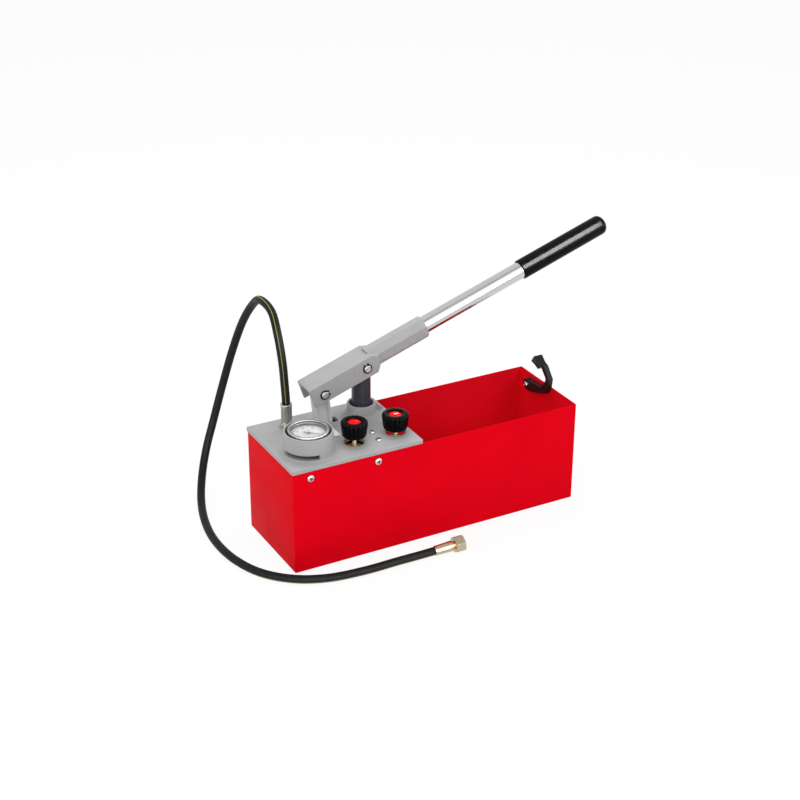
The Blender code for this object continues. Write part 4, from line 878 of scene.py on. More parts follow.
# Lever casting
# One aluminium casting: a box that is open below and at its left end, and an eight sided
# sleeve for the tube. Two small round marks on each cheek are left by the ejector pins.
LEVER_SLOPE = 18.8
LEVER = at((PUMP_X, PUMP_Y, PIN_Z), (-LEVER_SLOPE, "Y"))
CASTING_HALF = 0.0225
CASTING_LEFT, CASTING_FLOOR, CASTING_ROOF = -0.1027, -0.0162, 0.0165
CHANNEL_END = 0.0190
SLEEVE_ACROSS, SLEEVE_START, SLEEVE_END, SLEEVE_AXIS = 0.035, 0.012, 0.1205, 0.0026
TUBE_AXIS, TUBE_RADIUS = 0.0040, 0.01425
BORE_START, BORE_LENGTH, CHANNEL_LENGTH = 0.0617, 0.08, 0.14
CHEEK_WALL, ROOF_CURVE, ROOF_INNER = 0.0045, 0.012, 0.0115
FULCRUM = Matrix.Rotation(math.radians(LEVER_SLOPE), 3, "Y") @ Vector((-0.076, 0.0, -0.029))

outline = [
    (CASTING_LEFT, CASTING_FLOOR), (0.0158, CASTING_FLOOR), (0.0228, CASTING_FLOOR + 0.0096),
    (0.0262, CASTING_FLOOR + 0.0180), (0.0262, CASTING_ROOF - 0.0060), (0.0144, CASTING_ROOF),
    (CASTING_LEFT, CASTING_ROOF),
]
channel_block = plate(outline, 2 * CASTING_HALF, LEVER @ Matrix.Rotation(math.pi / 2, 4, "X"))
along_x = Matrix.Rotation(math.pi / 2, 4, "Y")
sleeve_middle = LEVER @ Matrix.Translation(((SLEEVE_END + SLEEVE_START) / 2, 0, SLEEVE_AXIS)) @ along_x
sleeve = prism(
    SLEEVE_ACROSS / 2 / math.cos(math.pi / 8), SLEEVE_END - SLEEVE_START,
    sleeve_middle @ Matrix.Rotation(math.pi / 8, 4, "Z"), 8,
)
solid = united(channel_block, sleeve)
inside = CASTING_HALF - CHEEK_WALL
arch = [(-inside, -0.03), (inside, -0.03)]
arch += list(arc((inside - ROOF_CURVE, ROOF_INNER - ROOF_CURVE), ROOF_CURVE, 0, 90, 10))
arch += list(arc((ROOF_CURVE - inside, ROOF_INNER - ROOF_CURVE), ROOF_CURVE, 90, 180, 10))
across = Matrix.Rotation(math.pi / 2, 4, "Z") @ Matrix.Rotation(math.pi / 2, 4, "X")
channel_middle = LEVER @ Matrix.Translation((CHANNEL_END - CHANNEL_LENGTH / 2, 0, 0))
channel = plate(arch, CHANNEL_LENGTH, channel_middle @ across)
bore_middle = LEVER @ Matrix.Translation((BORE_START + BORE_LENGTH / 2, 0, TUBE_AXIS)) @ along_x
bore = prism(TUBE_RADIUS + 0.0003, BORE_LENGTH, bore_middle, 96)
eyes = [prism(PIN_EYE, 0.06, LEVER @ at(spot, (90, "X"))) for spot in (Vector((0, 0, 0)), FULCRUM)]
solid = carve(solid, channel, bore, *eyes)
lever_body = add_piece("lever_body", solid, "lever", ["lever_casting"], [grey_cast])
round_edges(lever_body, 0.0010, 3, 25.0)
MARK_SPOTS = ((-0.0629, 0.0), (-0.0205, 0.0010))
mark = [
    (0.0034, 0.0001), (0.0036, 0.00045), (0.0040, 0.00045), (0.0042, 0.0001), (0.0042, -0.0003),
    (0.0034, -0.0003),
]
shape = bmesh.new()
for x, z in MARK_SPOTS:
    for side in (-1, 1):
        stand = LEVER @ at((x, side * CASTING_HALF, z), (-90 * side, "X"))
        turned(mark, stand, 48, shape)
add_piece("ejector_marks", shape, "lever", (), [grey_cast])


# Lever tube
# Chromed steel tube pushed into the sleeve. Polishing along its length leaves fine streaks.
def chrome_plate(name, colour, deep):
    """Chrome plate with fine streaks along the lever."""
    made, tree, shader = principled(name, colour, 0.16, 1.0)
    streaks = noise(tree, 800.0, 3.0, (60.0, 1.0, 1.0), (0.0, math.radians(-LEVER_SLOPE), 0.0))
    tree.links.new(tint(tree, between(tree, streaks, 0.0, 1.0), colour, deep), shader.inputs["Base Color"])
    tree.links.new(between(tree, noise(tree, 60.0), 0.13, 0.22), shader.inputs["Roughness"])
    roughen(tree, shader, streaks, 0.000012)
    return made


GRIP_START, GRIP_END, GRIP_RADIUS = 0.314, 0.486, 0.0166
tube_end = GRIP_END - 0.008
tube_line = LEVER @ Matrix.Translation((0, 0, TUBE_AXIS)) @ along_x
TUBE_BORE, TUBE_INNER_END = 0.01175, 0.062
wall = [
    (TUBE_BORE, tube_end), (TUBE_RADIUS, tube_end), (TUBE_RADIUS, TUBE_INNER_END),
    (TUBE_BORE, TUBE_INNER_END),
]
turn_piece(
    "chromed_tube", wall, tube_line, "lever", ["lever_tube"],
    chrome_plate("tube chrome", (0.64, 0.64, 0.65), (0.54, 0.54, 0.55)), 0.0003, 128,
)


# Lever grip
# A dipped sleeve of glossy black vinyl with a domed end, tight over the last third of the tube.
def dipped_vinyl(name, colour, deep):
    """Glossy vinyl with the slight waves of a dipped skin."""
    made, tree, shader = principled(name, colour, 0.20, specular=0.05)
    cloud = between(tree, noise(tree, 40.0), 0.0, 1.0)
    tree.links.new(tint(tree, cloud, colour, deep), shader.inputs["Base Color"])
    tree.links.new(between(tree, noise(tree, 120.0), 0.15, 0.27), shader.inputs["Roughness"])
    roughen(tree, shader, noise(tree, 110.0, 2.0), 0.00012)
    return made


skin = [(0, GRIP_END)]
for t in range(15, 91, 15):
    out, up = math.sin(math.radians(t)), math.cos(math.radians(t))
    skin.append((GRIP_RADIUS * out ** 0.85, GRIP_END - 0.0115 * (1 - up)))
grip_bore, grip_floor = TUBE_RADIUS + 0.0003, tube_end + 0.0003
skin += [
    (GRIP_RADIUS, GRIP_START + 0.0016), (GRIP_RADIUS - 0.0003, GRIP_START + 0.0006),
    (GRIP_RADIUS - 0.0008, GRIP_START), (grip_bore, GRIP_START), (grip_bore, grip_floor), (0, grip_floor),
]
grip = turn_piece(
    "vinyl_grip", skin, tube_line, "lever", ["lever_grip"],
    dipped_vinyl("black vinyl", (0.004, 0.004, 0.005), (0.006, 0.006, 0.007)), 0, 96,
)
light_only("grip softbox", grip)


# Lever pins and retaining rings
# Two ground steel pins through the casting. A black spring steel ring with two small ears
# sits in a groove at each end.
ring_steel = plain(
    "spring steel", (0.004, 0.004, 0.004), (0.007, 0.007, 0.007), 0.4, 0.12, 700.0, 0.00002, 0.0002
)
PIN_RADIUS, PIN_END = 0.006, CASTING_HALF + 0.0032
groove_near, groove_far, groove = CASTING_HALF + 0.0003, CASTING_HALF + 0.0019, PIN_RADIUS - 0.0008
half = [(0, PIN_END), (PIN_RADIUS - 0.001, PIN_END), (PIN_RADIUS, PIN_END - 0.001), (PIN_RADIUS, groove_far)]
half += [(groove, groove_far), (groove, groove_near), (PIN_RADIUS, groove_near)]
pin_profile = half + [(radius, -height) for radius, height in reversed(half)]
inner, outer, ear, gap = groove + 0.0003, PIN_RADIUS + 0.0020, PIN_RADIUS + 0.0036, 14
pin_steel = worked_metal("ground pin steel", (0.46, 0.46, 0.46), (0.38, 0.38, 0.38), 0.42, (1.0, 1.0, 1.0))
ring_outline = list(arc((0, 0), outer, 90 + gap + 16, 450 - gap - 16, 48))
ring_outline += list(arc((0, 0), ear, 450 - gap - 14, 450 - gap, 3))
ring_outline += list(arc((0, 0), inner, 450 - gap, 90 + gap, 48))
ring_outline += list(arc((0, 0), ear, 90 + gap, 90 + gap + 14, 3))
for word, spot, turn in (("plunger", Vector((0, 0, 0)), 0.0), ("fulcrum", FULCRUM, 84.0)):
    turn_piece(
        f"{word}_pin_rod", pin_profile, LEVER @ at(spot, (-90, "X")), "lever", [f"{word}_pin"],
        pin_steel, 0.0002, 64,
    )
    for side, end in ((-1, "front"), (1, "back")):
        seat = spot + Vector((0, side * (groove_near + groove_far) / 2, 0))
        shape = plate(ring_outline, 0.001, LEVER @ at(seat, (turn, "Y"), (90, "X")))
        ring = add_piece(
            f"{word}_ring_{end}", shape, "lever", [f"{word}_pin_clip_{end}"], [ring_steel]
        )
        round_edges(ring, 0.0002, 2)


# Link
# A cast H section arm hung on the fulcrum pin. Its lower eye turns on the headed pin between
# the two cheeks under the plate, with the play of a rocking joint.
FULCRUM_SPOT = Vector((-0.150, PUMP_Y, 0.240))
ANCHOR_SPOT = Vector((ANCHOR_X, PUMP_Y, ANCHOR_Z))
link_length = (FULCRUM_SPOT - ANCHOR_SPOT).length
link_lean = math.degrees(math.atan2(ANCHOR_SPOT.x - FULCRUM_SPOT.x, FULCRUM_SPOT.z - ANCHOR_SPOT.z))
LINK = at(FULCRUM_SPOT, (-link_lean, "Y"))
drift = Matrix.Rotation(math.radians(link_lean), 3, "Y") @ Vector((-0.0073, 0.0, -0.0044))
in_xz = Matrix.Rotation(math.pi / 2, 4, "X")
LINK_THICKNESS, LINK_HALF, TOP_RADIUS, EYE_RADIUS, SLOT_RADIUS = 0.014, 0.0135, 0.013, 0.0155, 0.0072
arm_foot = 0.012 - link_length
arm = list(arc((0, 0), TOP_RADIUS, 0, 180, 32))
arm += [(-LINK_HALF, -0.004), (-LINK_HALF, arm_foot), (LINK_HALF, arm_foot), (LINK_HALF, -0.004)]
eye_middle = LINK @ at(Vector((0, 0, -link_length)) + drift / 2, (90, "X"))
solid = united(
    plate(arm, LINK_THICKNESS, LINK @ in_xz), prism(EYE_RADIUS, LINK_THICKNESS, eye_middle, 64)
)
hole = prism(PIN_EYE, 0.04, LINK @ in_xz)
slant = math.degrees(math.atan2(drift.z, drift.x))
slot_outline = list(arc((0, 0), SLOT_RADIUS, slant + 90, slant + 270, 20))
slot_outline += list(arc((drift.x, drift.z), SLOT_RADIUS, slant - 90, slant + 90, 20))
slot = plate(slot_outline, 0.03, LINK @ Matrix.Translation((0, 0, -link_length)) @ in_xz)
WEB_HALF, POCKET_OUT, POCKET_HALF, POCKET_TOP, POCKET_FOOT = 0.0025, 0.010, 0.0095, -0.0165, 0.021
pockets = []
for side in (-1, 1):
    pocket = bmesh.new()
    near, far = sorted((side * WEB_HALF, side * POCKET_OUT))
    low = Vector((-POCKET_HALF, near, POCKET_FOOT - link_length))
    high = Vector((POCKET_HALF, far, POCKET_TOP))
    bmesh.ops.create_cube(
        pocket, size=1.0,
        matrix=LINK @ Matrix.Translation((low + high) / 2) @ Matrix.Diagonal((*(high - low), 1)),
    )
    bmesh.ops.bevel(
        pocket, geom=pocket.edges[:], offset=0.002, segments=3, affect="EDGES", profile=0.5, material=-1
    )
    pockets.append(pocket)
# A lighter copy of the casting grey, as painted light on the link where the lever casting shades it.
link_paint_painted_light = cast_paint("link casting painted lighter", (0.60, 0.60, 0.60), (0.55, 0.55, 0.55))
link_casting = add_piece(
    "link_casting", carve(solid, hole, slot, *pockets), "link", ["link_arm"], [link_paint_painted_light]
)
round_edges(link_casting, 0.0008, 3, 30.0)
headed_pin = [
    (0, 0.0168), (0.0068, 0.0168), (0.0075, 0.0161), (0.0075, 0.0143), (0.005, 0.0143), (0.005, -0.018),
    (0.0042, -0.0188), (0, -0.0188),
]
turn_piece(
    "anchor_rod", headed_pin, at(ANCHOR_SPOT, (90, "X")), "pump_base", ["anchor_pin"], zinc,
    0.0002,
)


# Valve block
# One bar of brass, milled on every side, that both valves screw down into. Its saddle comes
# up under the plate, where two zinc plated pan head screws hold it from above.
BLOCK_LOW, BLOCK_HIGH, BLOCK_HALF = 0.138, 0.163, 0.014
SADDLE_HALF_LENGTH, SADDLE_HALF_WIDTH = 0.011, 0.0205
PORT_Y, PORT_Z = KNOB_Y + 0.0055, 0.152
BLOCK_LEFT, BLOCK_RIGHT = KNOB_XS[0] - 0.0175, KNOB_XS[1] + 0.0175
SADDLE_X = 0.5 * (KNOB_XS[0] + KNOB_XS[1]) + 0.0005
SADDLE_SCREWS = [
    (word, SADDLE_X + side * 0.0015, KNOB_Y + side * 0.0137) for side, word in ((-1, "front"), (1, "back"))
]
bar = block((BLOCK_LEFT, KNOB_Y - BLOCK_HALF, BLOCK_LOW), (BLOCK_RIGHT, KNOB_Y + BLOCK_HALF, BLOCK_HIGH))
saddle = block(
    (SADDLE_X - SADDLE_HALF_LENGTH, KNOB_Y - SADDLE_HALF_WIDTH, BLOCK_LOW + 0.002),
    (SADDLE_X + SADDLE_HALF_LENGTH, KNOB_Y + SADDLE_HALF_WIDTH, PLATE_BOTTOM - 0.0003), 0.003, 6,
)
socket = [(0, 0.1502), (0.0065, 0.1502), (0.0065, 0.1565), (0.009, 0.1565), (0.009, 0.173), (0, 0.173)]
tap = [(0, 0.156), (0.0028, 0.156), (0.0028, 0.19), (0, 0.19)]
feed_port = [(0, 0.128), (0.0053, 0.128), (0.0053, 0.144), (0, 0.144)]
side_port = [(0, -0.014), (0.0045, -0.014), (0.0045, 0.006), (0, 0.006)]
drills = [turned(socket, at((x, KNOB_Y, 0))) for x in KNOB_XS]
drills += [turned(tap, at((x, y, 0))) for word, x, y in SADDLE_SCREWS]
drills += [
    turned(feed_port, at((PUMP_X, KNOB_Y, 0))),
    turned(side_port, at((BLOCK_LEFT, PORT_Y, PORT_Z), (90, "Y"))),
]
valve_bar = add_piece(
    "valve_bar", carve(united(bar, saddle), *drills), "pump_base", ["valve_block"], [brass]
)
round_edges(valve_bar, 0.0008, 2, 40.0)

SMALL_HEAD, SMALL_SHANK, SADDLE_SHANK_LENGTH = 0.0050, 0.0025, 0.0241
shank = [
    (SMALL_HEAD, 0.0004), (SMALL_HEAD, 0), (SMALL_SHANK, 0), (SMALL_SHANK, -SADDLE_SHANK_LENGTH),
    (0, -SADDLE_SHANK_LENGTH),
]
screw_solid = turned(head_dome(SMALL_HEAD, 0.0006, 0.0030, 0.7) + shank)
saddle_screw = carve(screw_solid, *cross_recess(0.0068, 0.0016, 0.0036, 0.0022))
shade_recess(saddle_screw, 0.0034, 0.0020)
for turn, (word, x, y) in zip((12, 55), SADDLE_SCREWS):
    mesh = saddle_screw.copy()
    mesh.transform(at((x, y, PLATE_TOP + 0.0003), (turn, "Z")))
    # The second material paints the shade in each cross recess.
    screw = add_piece(
        f"saddle_screw_{word}", mesh, "pump_base", [f"block_screw_{word}"], [zinc, recess_shade]
    )
    screw.data.set_sharp_from_angle(angle=math.radians(40))


# Valves
# Each valve is a brass bonnet with a hexagon, and a steel cone under the brass spindle that
# comes up through it. The left valve stands open, two and a half turns above its seat.
BONNET_TOP, SPINDLE_RADIUS = 0.1725, 0.0034
KNOB_BOTTOM, KNOB_HEIGHT = 0.1873, 0.0265
VALVES = (("left", KNOB_XS[0], 0.00375), ("right", KNOB_XS[1], 0.0))
bonnet_low = BLOCK_HIGH + 0.0003
bonnet_hex = 0.024 / math.sqrt(3)
hex_corner = [
    (0.0122, BONNET_TOP + 0.0004), (0.0160, BONNET_TOP + 0.0004), (0.0160, BONNET_TOP - 0.0018),
]
bonnet_bore = [
    (0, 0.150), (0.0065, 0.150), (0.0065, 0.165), (0.0037, 0.1665), (0.0037, 0.1718), (0.0047, 0.1728),
    (0, 0.1728),
]
bonnet_thread = [(0, 0.1568), (0.0087, 0.1568), (0.0087, 0.1655), (0, 0.1655)]
valve_cone = [
    (0, 0.1505), (0.0030, 0.1505), (0.0058, 0.1540), (0.0058, 0.1578), (0.0052, 0.1585), (0, 0.1585),
]
bright_brass = worked_metal("ground brass", (0.98, 0.86, 0.60), (0.92, 0.78, 0.50), 0.5, (1.0, 1.0, 0.05))
spindle_end = KNOB_BOTTOM + 0.0185
spindle = [(0, 0.1588), (SPINDLE_RADIUS, 0.1588), (SPINDLE_RADIUS, spindle_end - 0.0006)]
spindle += [(SPINDLE_RADIUS - 0.0004, spindle_end), (0, spindle_end)]
for word, x, lift in VALVES:
    valve_axis = at((x, KNOB_Y, 0))
    bonnet_middle = at((x, KNOB_Y, (BONNET_TOP + bonnet_low) / 2), (40, "Z"))
    shape = prism(bonnet_hex, BONNET_TOP - bonnet_low, bonnet_middle, 6)
    solid = united(shape, turned(bonnet_thread, valve_axis))
    solid = carve(solid, turned(hex_corner, valve_axis, 96), turned(bonnet_bore, valve_axis))
    bonnet = add_piece(f"{word}_bonnet", solid, "pump_base", [f"{word}_valve_bonnet"], [brass])
    round_edges(bonnet, 0.0003, 2, 25.0)
    turn_piece(
        f"{word}_cone", valve_cone, at((x, KNOB_Y, lift)), f"{word}_valve", [f"{word}_valve_cone"],
        steel, 0.0002, 48,
    )
    turn_piece(
        f"{word}_spindle", spindle, at((x, KNOB_Y, lift)), f"{word}_knob", [f"{word}_valve_spindle"],
        bright_brass, 0.0002, 48,
    )


# Valve knobs
# Moulded black thermoplastic with eighteen flutes, pressed on the spindle. A glossy red cap
# snaps into the round recess in its top.
FLUTES = 18
RECESS_FLOOR = KNOB_HEIGHT - 0.0029


def fluted_ring(shape, height, radius, depth):
    """One level of the knob: a circle that dips into each flute."""
    ring = bmesh.ops.create_circle(shape, cap_ends=False, radius=radius, segments=FLUTES * 12)["verts"]
    for vert in ring:
        turn = math.atan2(vert.co.y, vert.co.x)
        vert.co *= 1 - depth / radius * max(0.0, math.cos(FLUTES * turn)) ** 1.5
        vert.co.z = height
    return ring


knob_black = plain(
    "black knob plastic", (0.0020, 0.0020, 0.0022), (0.0030, 0.0030, 0.0032), 0.22, 0.06, 1500.0, 0.000006
)
cap_red = plain("red cap plastic", (0.84, 0.001, 0.006), (0.78, 0.001, 0.006), 0.10, 0.08, 600.0, 0.000004)
shiny_caps = []
# Each level's height on the knob, its radius and the depth of its flutes
knob_levels = [
    (0.0188, SPINDLE_RADIUS + 0.0003, 0), (0, SPINDLE_RADIUS + 0.0003, 0), (0, 0.0158, 0),
    (0.0005, 0.0170, 0.0002), (0.0015, 0.0185, 0.0008), (0.0040, 0.0196, 0.0016), (0.0100, 0.0203, 0.0017),
    (0.0210, 0.0215, 0.0019), (0.0238, 0.0214, 0.0020), (0.0252, 0.0209, 0.0020), (0.0261, 0.0201, 0.0016),
    (KNOB_HEIGHT, 0.0190, 0.0007), (KNOB_HEIGHT, 0.0117, 0), (KNOB_HEIGHT - 0.0004, 0.0111, 0),
    (KNOB_HEIGHT - 0.0010, 0.0110, 0), (RECESS_FLOOR, 0.0110, 0),
]
CAP_RADIUS, CAP_EDGE, CAP_RISE = 0.0101, RECESS_FLOOR + 0.0007, 0.0013
angles = [math.radians(t) for t in range(90, -1, -10)]
cap_dome = [(CAP_RADIUS * math.sin(t), CAP_EDGE + CAP_RISE * math.cos(t)) for t in angles]
cap_profile = [(0, RECESS_FLOOR + 0.0003), (CAP_RADIUS, RECESS_FLOOR + 0.0003)] + cap_dome
for word, x, lift in VALVES:
    knob_base = at((x, KNOB_Y, KNOB_BOTTOM + lift))
    shape = bmesh.new()
    join_rings(shape, [fluted_ring(shape, *level) for level in knob_levels])
    knob = add_piece(
        f"{word}_knob_body", mesh_from(shape, knob_base), f"{word}_knob",
        [f"{word}_valve_knob"], [knob_black],
    )
    knob.data.set_sharp_from_angle(angle=math.radians(50))
    shiny_caps.append(turn_piece(
        f"{word}_cap", cap_profile, knob_base, f"{word}_knob", [f"{word}_knob_cap"],
        cap_red, 0, 64,
    ))
light_only("back window", *shiny_caps)


# Pressure gauge
# A 63 mm dial gauge with its stem below. A blackened steel case holds a bright spacer ring, a
# white printed dial and a flat window, and a polished steel bezel is crimped over its rim.
DIAL_Z = 0.2098
CASE_RADIUS, CASE_BORE, CASE_TOP, CASE_BOTTOM = 0.0310, 0.0295, 0.2149, 0.1870
STEM_RADIUS, STEM_END, DIAL_RADIUS, SPACER_RADIUS = 0.007, 0.1585, 0.0288, 0.0293
BEZEL_RADIUS, BEZEL_TOP, BEZEL_SKIRT, BEZEL_LIP, LIP_UNDER = 0.0326, 0.2188, 0.2090, 0.0285, 0.2175
case_black = plain("blackened case", (0.006, 0.006, 0.006), (0.010, 0.010, 0.010), 0.45, 0.25, 900.0, 0.00002)
bezel_steel = worked_metal(
    "polished bezel", (0.60, 0.60, 0.60), (0.54, 0.54, 0.54), 0.30, (1.0, 1.0, 1.0), scale=300.0,
    depth=0.000003,
)
spacer_steel = worked_metal(
    "spacer ring steel", (0.52, 0.52, 0.53), (0.42, 0.42, 0.43), 0.28, (1.0, 1.0, 0.05)
)
case = [
    (0, DIAL_Z - 0.0003), (CASE_BORE, DIAL_Z - 0.0003), (CASE_BORE, CASE_TOP), (CASE_RADIUS, CASE_TOP),
    (CASE_RADIUS, CASE_BOTTOM + 0.0030), (CASE_RADIUS - 0.0009, CASE_BOTTOM + 0.0009),
    (CASE_RADIUS - 0.003, CASE_BOTTOM), (STEM_RADIUS, CASE_BOTTOM), (STEM_RADIUS, STEM_END), (0, STEM_END),
]
turn_piece(
    "gauge_body", case, gauge_axis, "pump_base", ["gauge_case"], case_black, 0.0003, 128
)
spacer_foot, spacer_bore = DIAL_Z + 0.0010, DIAL_RADIUS - 0.0003
spacer = [
    (spacer_bore, spacer_foot), (SPACER_RADIUS, spacer_foot), (SPACER_RADIUS, 0.2150),
    (spacer_bore - 0.0006, 0.2150), (spacer_bore, 0.2142),
]
turn_piece(
    "gauge_spacer", spacer, gauge_axis, "pump_base", (), spacer_steel, 0, 128
)
bezel = [
    (BEZEL_LIP, LIP_UNDER), (BEZEL_LIP, BEZEL_TOP - 0.0007), (BEZEL_LIP + 0.0003, BEZEL_TOP - 0.0002),
    (BEZEL_LIP + 0.0009, BEZEL_TOP), (BEZEL_RADIUS - 0.0013, BEZEL_TOP),
    (BEZEL_RADIUS - 0.0004, BEZEL_TOP - 0.0004), (BEZEL_RADIUS, BEZEL_TOP - 0.0013),
    (BEZEL_RADIUS, BEZEL_SKIRT), (CASE_RADIUS + 0.0003, BEZEL_SKIRT), (CASE_RADIUS + 0.0003, LIP_UNDER),
]
turn_piece(
    "gauge_rim", bezel, gauge_axis, "pump_base", ["gauge_bezel"], bezel_steel, 0, 160
)

dial_paint = plain("white dial paint", (0.70, 0.70, 0.73), (0.67, 0.67, 0.70), 0.55, 0.3, 400.0, 0.000005)
DIAL_FACE, DIAL_EYE = DIAL_Z + 0.0008, 0.0014
dial = [(DIAL_EYE, DIAL_Z), (DIAL_RADIUS, DIAL_Z), (DIAL_RADIUS, DIAL_FACE), (DIAL_EYE, DIAL_FACE)]
turn_piece(
    "dial_face", dial, gauge_axis, "pump_base", ["gauge_dial"], dial_paint, 0, 96
)

DIAL_START, DIAL_SWEEP, DIAL_STEPS = -45.0, 270.0, 60
PRINT_DEPTH = 0.00006
SCALE_RING, INNER_RING = (0.0251, 0.0254), (0.0118, 0.0120)
LONG_TICK, MIDDLE_TICK, SHORT_TICK, TICK_END, INNER_TICK_END = 0.0212, 0.0226, 0.0236, 0.0252, 0.0137
NUMBER_REACH, NUMBER_HEIGHT = 0.0176, 0.0052
print_z = DIAL_FACE + PRINT_DEPTH / 2
dial_marks = bmesh.new()


def print_band(inner, outer, start, end, count):
    """A printed stretch of ring on the dial, its angles in degrees."""
    outline = list(arc((0, 0), outer, start, end, count)) + list(arc((0, 0), inner, end, start, count))
    plate(outline, PRINT_DEPTH, gauge_axis @ Matrix.Translation((0, 0, print_z)), dial_marks)


def print_tick(heading, inner, outer, width):
    """A printed stroke that points at the dial's middle."""
    outline = [(inner, -width / 2), (outer, -width / 2), (outer, width / 2), (inner, width / 2)]
    plate(outline, PRINT_DEPTH, gauge_axis @ at((0, 0, print_z), (heading, "Z")), dial_marks)


for i in range(DIAL_STEPS + 1):
    heading = DIAL_START - DIAL_SWEEP * i / DIAL_STEPS
    tick_start = LONG_TICK if i % 10 == 0 else MIDDLE_TICK if i % 5 == 0 else SHORT_TICK
    print_tick(heading, tick_start, TICK_END, 0.0005 if i % 10 == 0 else 0.00028)
    if i % 3 == 0:
        print_tick(heading, 0.0120 if i % 15 == 0 else 0.0127, INNER_TICK_END, 0.00025)
print_band(*SCALE_RING, DIAL_START - DIAL_SWEEP, DIAL_START, 90)
print_band(*INNER_RING, DIAL_START - DIAL_SWEEP, DIAL_START, 60)
for i in range(7):
    heading = math.radians(DIAL_START - DIAL_SWEEP * i / 6)
    letters = bpy.data.curves.new("dial number", "FONT")
    letters.body = str(i * 10)
    letters.size = NUMBER_HEIGHT
    letters.align_x = "CENTER"
    letters.align_y = "CENTER"
    letters.extrude = PRINT_DEPTH / 2
    helper = bpy.data.objects.new("dial number", letters)
    scene.collection.objects.link(helper)
    number = bpy.data.meshes.new_from_object(helper.evaluated_get(bpy.context.evaluated_depsgraph_get()))
    bpy.data.objects.remove(helper)
    spot = (NUMBER_REACH * math.cos(heading), NUMBER_REACH * math.sin(heading), print_z)
    number.transform(gauge_axis @ at(spot, (90, "Z")))
    dial_marks.from_mesh(number)
bmesh.ops.remove_doubles(dial_marks, verts=dial_marks.verts, dist=0.000001)
dial_ink = plain("dial ink", (0.07, 0.07, 0.08), (0.09, 0.09, 0.10), 0.5, 0.3, 400.0, 0.000002, 0)
dial_print = add_piece("dial_print", dial_marks, "pump_base", (), [dial_ink])
dial_print.data.shade_flat()

POINTER_TAIL, POINTER_WAIST, POINTER_TIP = (-0.0080, 0.0011), (-0.0030, 0.0006), (0.0228, 0.00016)
one_side = [POINTER_TAIL, POINTER_WAIST, POINTER_TIP]
outline = [(x, -half) for x, half in one_side] + one_side[::-1]
shape = plate(outline, 0.0004, gauge_axis @ at((0, 0, DIAL_Z + 0.0024), (DIAL_START, "Z")))
pointer = add_piece("needle_pointer", shape, "needle", ["gauge_needle"], [case_black])
pointer.data.set_sharp_from_angle(angle=math.radians(30))
hub = [
    (0, 0), (0.0013, 0), (0.0013, 0.0034), (0.0023, 0.0036), (0.0024, 0.0042), (0.0020, 0.0048),
    (0.0011, 0.0048), (0.0009, 0.0042), (0, 0.0042),
]
turn_piece("needle_hub", hub, gauge_axis @ at((0, 0, DIAL_Z + 0.0010)), "needle", (), brass, 0, 48)

clear, tree, shader = principled("clear window", (0.95, 0.95, 0.96), 0.04, specular=0.5)
shader.inputs["Alpha"].default_value = 0.07
tree.links.new(between(tree, noise(tree, 50.0), 0.03, 0.06), shader.inputs["Roughness"])
WINDOW_RADIUS, WINDOW_BOTTOM, WINDOW_TOP = CASE_RADIUS - 0.0002, 0.2161, 0.2170
window = [(0, WINDOW_BOTTOM), (WINDOW_RADIUS, WINDOW_BOTTOM), (WINDOW_RADIUS, WINDOW_TOP), (0, WINDOW_TOP)]
turn_piece("gauge_window", window, gauge_axis, "pump_base", ["gauge_glass"], clear, 0, 96)


# Pressure pipes
# Nickel plated steel pipes with turned collars, under the plate, join the pump to the valves,
# the gauge's brass tee and the brass connector that the hose screws on.
nickel = worked_metal(
    "nickel plate", (0.52, 0.50, 0.46), (0.42, 0.40, 0.36), 0.24, (1.0, 1.0, 0.05), scale=700.0,
    depth=0.00001,
)
TEE_HALF, CONNECTOR_HALF, BODY_FOOT, BODY_CORNER = 0.014, 0.0115, 0.141, 0.002
PIPE_RADIUS, PIPE_COLLAR, PIPE_COLLAR_LENGTH = 0.006, 0.0085, 0.008


def collared_pipe(name, node, start, length, turn):
    """A straight pipe with a collar at each end."""
    half = [
        (0, 0), (PIPE_COLLAR, 0), (PIPE_COLLAR, PIPE_COLLAR_LENGTH), (PIPE_RADIUS, PIPE_COLLAR_LENGTH),
    ]
    profile = half + [(radius, length - height) for radius, height in reversed(half)]
    turn_piece(name, profile, at(start, turn), "pump_base", [node], nickel, 0.0006, 48)


tee_right = GAUGE_X + TEE_HALF + 0.0003
collared_pipe(
    "gauge_line", "gauge_pipe", (tee_right, PORT_Y, PORT_Z), BLOCK_LEFT - 0.0003 - tee_right, (90, "Y")
)
tee_back = GAUGE_Y + TEE_HALF + 0.0003
collared_pipe(
    "hose_line_pipe", "hose_pipe", (-0.2035, tee_back, PORT_Z),
    HOSE_Y - CONNECTOR_HALF - 0.0003 - tee_back, (-90, "X"),
)
tee_block = block(
    (GAUGE_X - TEE_HALF, GAUGE_Y - TEE_HALF, BODY_FOOT),
    (GAUGE_X + TEE_HALF, GAUGE_Y + TEE_HALF, 0.1665), BODY_CORNER,
)
stem_hole = turned([(0, 0.158), (0.0073, 0.158), (0.0073, 0.18), (0, 0.18)], gauge_axis)
tee = add_piece("tee_body", carve(tee_block, stem_hole), "pump_base", ["gauge_tee"], [brass])
round_edges(tee, 0.0009, 2, 40.0)
elbow = block(
    (HOSE_X - CONNECTOR_HALF, HOSE_Y - CONNECTOR_HALF, BODY_FOOT),
    (HOSE_X + CONNECTOR_HALF, HOSE_Y + CONNECTOR_HALF, PLATE_BOTTOM - 0.0013), BODY_CORNER,
)
hose_foot = at((HOSE_X, HOSE_Y, 0))
nipple = turned([(0, 0.168), (0.0071, 0.168), (0.0071, 0.1894), (0.0066, 0.1900), (0, 0.1900)], hose_foot)
connector = add_piece(
    "connector_body", united(elbow, nipple), "pump_base", ["hose_connector"], [brass]
)
round_edges(connector, 0.0009, 2, 40.0)

